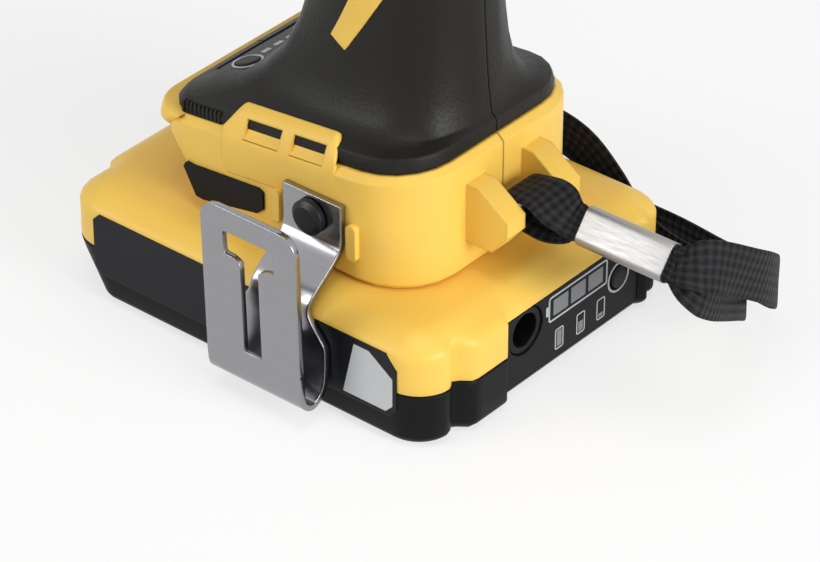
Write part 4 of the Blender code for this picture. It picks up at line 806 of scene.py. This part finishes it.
# Bent path of the belt hook: distance from the wall, and height
HOOK_BENDS = np.array([
    (1, 44.5), (1, 40), (1, 35.5), (2.2, 33), (6, 29.8), (9.8, 27), (11.7, 24.5), (12.2, 21),
    (12.2, 16), (12.4, 10), (13.5, 6.6), (16.5, 4.6), (19.3, 6.2), (20, 10), (20.1, 14), (20.2, 16),
    (20.6, 30), (20.76, 37), (20.97, 43), (21, 44), (21.1, 46.2), (21.2, 48.5)])
# Columns of the hook's plate from its middle, with one on each edge of the slot
HOOK_COLUMNS = np.array([-13, -12, -10, -7, -4.5, -2.5, 0, 2.5, 4.5, 7, 10, 12, 13])


@dataclass
class BeltHook:
    """Bent strip of spring steel with a T-shaped slot in its free plate."""
    middle: float = 3.5
    wall: float = -30.0
    thick: float = 1.4
    tab_half: float = 8.0
    plate_half: float = 13.0
    widening: Pair = (16.0, 24.5)
    end_round: float = 4.5
    bar: Point = (7.0, 37.0, 43.0)
    stem: Pair = (2.5, 14.0)
    corner_cut: Pair = (0.6, 0.2)
    rows_past_bend: int = 4

    def round_slot(self, grid: Array, lowest: int) -> None:
        """Cut the corners of the T-slot by moving the grid point that lies on each.

        Args:
            grid: points of the strip, rows along the path, changed in place.
            lowest: row of the lowest bend, after which the free plate starts.
        """
        cut, fill = self.corner_cut
        width, low, high = self.bar
        corners = ((self.stem[0], low, cut, -cut), (width, low, -fill, fill),
                   (width, high, -fill, -fill))
        plate, close = grid[lowest + self.rows_past_bend:], 0.01
        reach, level = np.abs(plate[..., 0] - self.middle), plate[..., 2].copy()
        for at, height, out, up in corners:
            hit = (np.abs(reach - at) < close) & (np.abs(level - height) < close)
            plate[..., 0][hit] += out * np.sign(plate[..., 0][hit] - self.middle)
            plate[..., 2][hit] += up

    def build(self) -> None:
        """Sweep the width along the bent path, leaving the slot out.

        The half width grows from tab to plate on the way down, and at the free end follows
        w = plate - (r - sqrt(r^2 - (r - s)^2)), with s the distance from the end.
        """
        path = catmull(HOOK_BENDS, steps=5)
        lowest = int(np.argmin(path[:, 1]))
        row = np.arange(len(path))
        share = np.where(row < lowest, 1.0 - ease(path[:, 1], *self.widening), 1.0)
        half = self.tab_half + (self.plate_half - self.tab_half) * share
        radius = self.end_round
        left = np.where(row > lowest, np.clip(path[-1, 1] - path[:, 1], 0.0, radius), radius)
        half -= radius - np.sqrt(radius ** 2 - (radius - left) ** 2)
        x = self.middle + half[:, None] * (HOOK_COLUMNS / self.plate_half)[None, :]
        y = np.broadcast_to((self.wall - path[:, 0])[:, None], x.shape)
        z = np.broadcast_to(path[:, 1][:, None], x.shape)
        grid = np.stack([x, y, z], axis=-1)
        self.round_slot(grid, lowest)
        centre = 0.25 * (grid[:-1, :-1] + grid[1:, :-1] + grid[:-1, 1:] + grid[1:, 1:])
        reach, level = np.abs(centre[..., 0] - self.middle), centre[..., 2]
        width, low, high = self.bar
        plate = (row[:-1] > lowest + self.rows_past_bend)[:, None]
        in_bar = (reach < width) & (level > low) & (level < high)
        in_stem = (reach < self.stem[0]) & (level > self.stem[1]) & (level <= low)
        piece = grid_piece("belt_hook_strip", grid, Wear("tool", "nickel_steel", HOOK_STEEL),
                           closed=False, keep=~(plate & (in_bar | in_stem)))
        add_thickness(piece, self.thick, offset=0.0, edge=0.3)
        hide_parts("belt_hook")


# Section of a vent hood: distance out from the wall and rise above the rim
HOOD_SECTION = np.array([
    (0.12, -9.8), (0.3, -3.4), (0.25, -2), (-0.1, -0.7), (-2.1, 3.6), (-3, 4.7), (-4, 5.5),
    (-4.9, 5.8), (-5.6, 5)])
# Row of the hood's section that holds the windows
HOOD_WINDOW = 3
# Section of the front lip, measured in the same way
LIP_SECTION = np.array([
    (-0.6, -6.4), (0.7, -5.4), (1.7, -4.4), (2.2, -3.4), (2.3, -2.4), (2.1, -1.2), (1.8, 0),
    (1.5, 0.8), (1, 1.3), (-0.2, 1.35), (-1.2, 1.3), (-2.6, 1.3)])
# Outline of the name plate in x and z
NAME_PLATE = np.array([
    (-28.5, 29.4), (-13, 32.4), (-11.2, 34), (-11.2, 38.2), (-12.6, 38.8), (-33.4, 36.9),
    (-34, 35.8), (-30.6, 29.6)])


@dataclass
class FootDress:
    """Raised lip, vent hood, plates, ribs and inlay of the foot and of the grip.

    The hood, floors, comb and inlay are those of one side: -1 is the left, 1 the right.
    """
    place: str
    side: float
    half: float = 30.0
    top: float = 51.15
    slope: float = 0.105
    hood: Pair = (-22.0, 7.5)
    hood_least: float = 0.12
    vents: Tuple[Pair, ...] = ((-17.4, -7.6), (-4.4, 4.6))
    front: float = -43.0
    rear: float = 29.0
    corner: float = 9.0
    lip_end: float = -34.2

    def rim(self, x: Array) -> Array:
        """Height of the foot's rim at x."""
        return self.top + self.slope * x

    def sheet(self, name: str, grid: Array, keep: Array = np.array(True)) -> Item:
        """Write the kept faces of a yellow sheet, turned over on the right to face out."""
        faces, turn = np.broadcast_to(keep, np.subtract(grid.shape[:2], 1)), -int(self.side)
        return grid_piece(name, grid[:, ::turn], TOOL_YELLOW, closed=False, keep=faces[:, ::turn])

    def vent_hood(self) -> None:
        """Bend a sheet over the rim, with two windows and tapered ends.

        Each section runs up the wall, over the slanted face and under the grip. A smooth step
        along x shrinks it to the rim line at both ends.
        """
        start, end = self.hood
        edges = np.array([edge for vent in self.vents for edge in vent])
        x = np.unique(np.concatenate([np.linspace(start - 2.5, end + 2.5, 58), edges]))
        size = ease(x, start - 2.6, start + 2.6) * (1.0 - ease(x, end - 2.0, end + 1.6))
        x, size = x[size > self.hood_least], size[size > self.hood_least]
        out, rise = HOOD_SECTION[:, :1], HOOD_SECTION[:, 1:]
        out = np.where(out < 0.0, out * size, out - 0.25 * (1.0 - size))
        rise = np.where(rise > 0.0, rise * size, rise)
        y = self.side * (self.half + out)
        grid = np.stack([np.broadcast_to(x, y.shape), y, self.rim(x) + rise], axis=-1)
        middle = 0.5 * (x[:-1] + x[1:])
        open_x = np.any([(middle > low) & (middle < high) for low, high in self.vents], axis=0)
        keep = np.ones((len(HOOD_SECTION) - 1, len(x) - 1), dtype=bool)
        keep[HOOD_WINDOW] = ~open_x
        hood = self.sheet(f"vent_hood_{self.place}", grid, keep)
        add_thickness(hood, 0.9, offset=-1.0, edge=0.25)

    def vent_floors(self) -> None:
        """Lay a sloped floor in each window, from its lower edge in towards the grip."""
        out, rise = np.array([-0.3, -1.2, -2.1])[:, None], np.array([-0.5, 0.2, 1.3])[:, None]
        for number, (low, high) in enumerate(self.vents):
            x = np.linspace(low - 0.4, high + 0.4, 6)
            y = self.side * (self.half + out) * np.ones_like(x)
            grid = np.stack([np.broadcast_to(x, y.shape), y, self.rim(x) + rise], axis=-1)
            self.sheet(f"vent_floor_{self.place}_{number + 1}", grid)

    def comb(self) -> None:
        """Cut a row of teeth as one outline and set it on the edge of the grip.

        The outline is a square wave along x, with the slope of the rim.
        """
        teeth, pitch, start, low, high, back = 10, 1.15, -36.0, 0.35, 3.0, 0.3
        corners = np.tile([0.0, 0.0, 0.55, 0.55], teeth)
        steps = start + pitch * (np.repeat(np.arange(teeth), 4) + corners)
        height = np.tile([low, high, high, low], teeth)
        ends = np.array([steps[-1], start])
        upper = np.stack([steps, self.rim(steps) + height], axis=1)
        lower = np.stack([ends, self.rim(ends) - back], axis=1)
        outline = np.vstack([upper, lower])[::-1]
        rubber = Wear("tool", "black_rubber", GRIP_RUBBER)
        wall = self.side * (self.half - 2.4)
        side_plate(f"grip_comb_{self.place}", outline, wall, (-0.4, 0.55), rubber)

    def inlay(self) -> None:
        """Lay a slanted inlay on the handle.

        The handle is |dx/21|^2.4 + |y/16|^2.4 = 1, and widens below z = 80 with the square of
        the drop.
        """
        deep, wide, power, flare_top, proud = 21.0, 16.0, 2.4, 80.0, 0.3
        h = np.linspace(0.0, 22.0, 24)[:, None]
        s = np.linspace(0.0, 1.0, 10)[None, :]
        x = (-4.2 + 0.49 * h) * (1 - s) + (0.4 + 0.62 * h) * s
        z = (73.4 + h) * (1 - s) + (71.6 + h) * s
        reach = np.abs(x - 3.0 + 0.04 * (z - flare_top)) / deep
        flare = 1.04 * (np.clip(flare_top - z, 0.0, 9.0) / 8.0) ** 2
        y = self.side * (wide * (1.0 - reach ** power) ** (1 / power) + flare + proud)
        piece = self.sheet(f"handle_inlay_{self.place}", np.stack([x, y, z], axis=-1))
        add_thickness(piece, 0.6, offset=-1.0, edge=0.2)

    def front_lip(self) -> None:
        """Sweep a raised lip round the front of the foot, tapered to nothing along its sides.

        The path is the front of a rounded rectangle, and each section point moves out along the
        path's normal.
        """
        plan = rounded_plan(self.front, self.rear, self.half, self.corner)
        ahead = plan[:, 0] < self.lip_end
        plan, side = plan[ahead], outward(plan)[ahead]
        size = ease(-plan[:, 0], -self.front - self.corner, -self.front)
        out, rise = LIP_SECTION[:, :1], LIP_SECTION[:, 1:]
        out = np.where(out > 0.0, out * size[None], out)
        place = plan[None] + out[..., None] * side[None]
        z = self.rim(plan[None, :, 0]) + rise * size[None]
        grid = np.concatenate([place, z[..., None]], axis=-1)
        grid_piece("foot_front_lip", grid, TOOL_YELLOW, closed=False)

    def dress_side(self) -> None:
        """Build what both sides of the foot and the handle have."""
        self.vent_hood()
        self.vent_floors()
        self.comb()
        self.inlay()

    def hook_side(self) -> None:
        """Build the bare name plate and the ribs beside the hook, on the left only."""
        black = Wear("tool", "black_plastic", BLACK_NYLON)
        side_plate("name_plate_bare", NAME_PLATE, -self.half, (-1.5, 0.5), black)
        for name, low, high in (("hook_rib_front", (-8.2, 33.0), (-5.9, 41.0)),
                                ("hook_rib_rear", (12.3, 32.0), (14.9, 40.5))):
            rib = rounded_box(low, high, 0.9)
            side_plate(name, rib, -self.half, (-0.5, 1.3), TOOL_YELLOW)


# Outlines on the side of the battery in x and z
SIDE_PANEL = np.array([
    (-49.6, 6.6), (32.6, 6.6), (34.4, 8.6), (34.4, 18.6), (31.6, 22), (-49.6, 22), (-51.4, 20.2),
    (-51.4, 8.4)])
STICKER = np.array([(20, 7.6), (31.6, 7.6), (33.4, 9.4), (33.4, 16.2), (27, 20.6), (23, 20.6)])


@dataclass
class SidePanels:
    """Long dark panels on both sides of the battery, with a bare pale sticker on the left."""
    half: float = 41.0

    def build(self) -> None:
        """Extrude both panels and the sticker."""
        film = Wear("battery", "black_plastic", PANEL_FILM)
        for place, side in SIDES:
            wall = side * self.half
            panel = side_plate(f"pack_side_{place}", SIDE_PANEL, wall, (-0.8, 0.18), film)
            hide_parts(f"side_panel_{place}")
        side_plate("pack_sticker_bare", STICKER, -self.half, (0.0, 0.28), PACK_PALE)


def looking(place: Vector, back: Vector) -> Matrix:
    """Pose of something that stands at a place in millimetres and looks against back."""
    return Matrix.Translation(place * MM) @ back.to_track_quat("Z", "Y").to_matrix().to_4x4()


@dataclass
class Studio:
    """Pale floor, soft lamps and the camera at the photograph's angle."""
    target: Point = (3.6, 0.0, 6.6)
    azimuth: float = 40.0
    elevation: float = 34.0
    distance: float = 900.0
    lens: float = 181.8
    sensor: float = 36.0
    view_limit_m: float = 50.0
    floor_half_m: float = 4.0
    floor_glow: float = 0.7
    ambient: float = 0.30
    lamp_size: float = 420.0
    lamp_aim: Point = (0.0, 0.0, 60.0)
    lamps: Tuple[Tuple[str, Point, float], ...] = (
        ("top_lamp", (100.0, -100.0, 900.0), 2.6), ("side_lamp", (-500.0, -800.0, 500.0), 3.6),
        ("rear_lamp", (850.0, -40.0, 320.0), 6.0))

    def camera(self) -> None:
        """Place the camera so that its axis meets the target."""
        turn, rise = math.radians(self.azimuth), math.radians(self.elevation)
        back = Vector((math.cos(rise) * math.sin(turn), -math.cos(rise) * math.cos(turn),
                       math.sin(rise)))
        data = bpy.data.cameras.new("camera")
        data.lens, data.sensor_width, data.clip_end = self.lens, self.sensor, self.view_limit_m
        item = bpy.data.objects.new("camera", data)
        item.matrix_world = looking(Vector(self.target) + back * self.distance, back)
        bpy.context.scene.collection.objects.link(item)
        bpy.context.scene.camera = item

    def lamp(self, name: str, place: Point, power: float) -> None:
        """Add a square soft lamp that looks at the object.

        Args:
            name: name of the lamp.
            place: position in millimetres.
            power: watts.
        """
        data = bpy.data.lights.new(name, "AREA")
        data.size, data.energy = self.lamp_size * MM, power
        item = bpy.data.objects.new(name, data)
        item.matrix_world = looking(Vector(place), Vector(place) - Vector(self.lamp_aim))
        bpy.context.scene.collection.objects.link(item)

    def floor(self) -> None:
        """Lay a wide pale floor that stays near white to the camera and keeps the shadow."""
        half = self.floor_half_m
        corners = [(-half, -half, 0), (half, -half, 0), (half, half, 0), (-half, half, 0)]
        mesh = bpy.data.meshes.new("floor")
        mesh.from_pydata(corners, [], [(0, 1, 2, 3)])
        item = bpy.data.objects.new("floor", mesh)
        material = bpy.data.materials.new("pale_studio_floor")
        material.use_nodes = True
        nodes = Nodes(material.node_tree)
        nodes.tree.nodes.clear()
        paper = nodes.add("ShaderNodeBsdfDiffuse", Color=linear("#F4F4F4"))
        glow = nodes.add("ShaderNodeEmission", Color=WHITE, Strength=1.0)
        path = nodes.add("ShaderNodeLightPath").outputs
        seen = nodes.math("MAXIMUM", path["Is Camera Ray"], path["Is Glossy Ray"])
        share = nodes.math("MULTIPLY", seen, self.floor_glow)
        mixed = nodes.add("ShaderNodeMixShader", Fac=share, i1=paper.outputs[0], i2=glow.outputs[0])
        nodes.add("ShaderNodeOutputMaterial", Surface=mixed.outputs[0])
        mesh.materials.append(material)
        bpy.context.scene.collection.objects.link(item)

    def light(self) -> None:
        """Set the world, which is white where it is seen or mirrored, and the lamps."""
        scene = bpy.context.scene
        scene.view_settings.view_transform = "Standard"
        world = scene.world or bpy.data.worlds.new("studio")
        scene.world = world
        world.use_nodes = True
        nodes = Nodes(world.node_tree)
        nodes.tree.nodes.clear()
        soft = nodes.add("ShaderNodeBackground", Color=WHITE, Strength=self.ambient)
        white = nodes.add("ShaderNodeBackground", Color=WHITE, Strength=1.0)
        path = nodes.add("ShaderNodeLightPath").outputs
        seen = nodes.math("MAXIMUM", path["Is Camera Ray"], path["Is Glossy Ray"])
        through = nodes.math("MAXIMUM", seen, path["Is Transmission Ray"])
        mixed = nodes.add("ShaderNodeMixShader", Fac=through, i1=soft.outputs[0],
                          i2=white.outputs[0])
        nodes.add("ShaderNodeOutputWorld", Surface=mixed.outputs[0])
        for name, place, power in self.lamps:
            self.lamp(name, place, power)


def dress_cad(frame: Named) -> None:
    """Give every CAD node the finish of its material slot.
    """
    bodies = frame["record"]["behaviour"]["bodies"]
    body_of = {node: body for body, nodes in bodies.items() for node in nodes}
    for row in frame["record"]["subparts"]:
        name, slot = row["node"], row["material_slot"]
        node = frame["nodes"][name]
        node.data.materials.clear()
        node.data.materials.append(SLOT_FINISH[slot].material())
        if name in ROUNDED_NODES:
            smooth_copy(node, body_of[name])
        LOG.info("dressed %s as %s", name, slot)


def main() -> None:
    """Load the frame, build the pieces in order and update the view layer."""
    logging.basicConfig(level=logging.INFO, format="%(name)s: %(message)s")
    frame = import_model()
    studio = Studio()
    studio.camera()
    studio.floor()
    studio.light()
    dress_cad(frame)
    PackShell().build()
    SidePanels().build()
    Prints().build()
    feet = [FootDress(place, side) for place, side in SIDES]
    feet[0].front_lip()
    for foot in feet:
        foot.dress_side()
    feet[0].hook_side()
    BeltHook().build()
    WristStrap().build()
    bpy.context.view_layer.update()


if __name__ == "__main__":
    main()
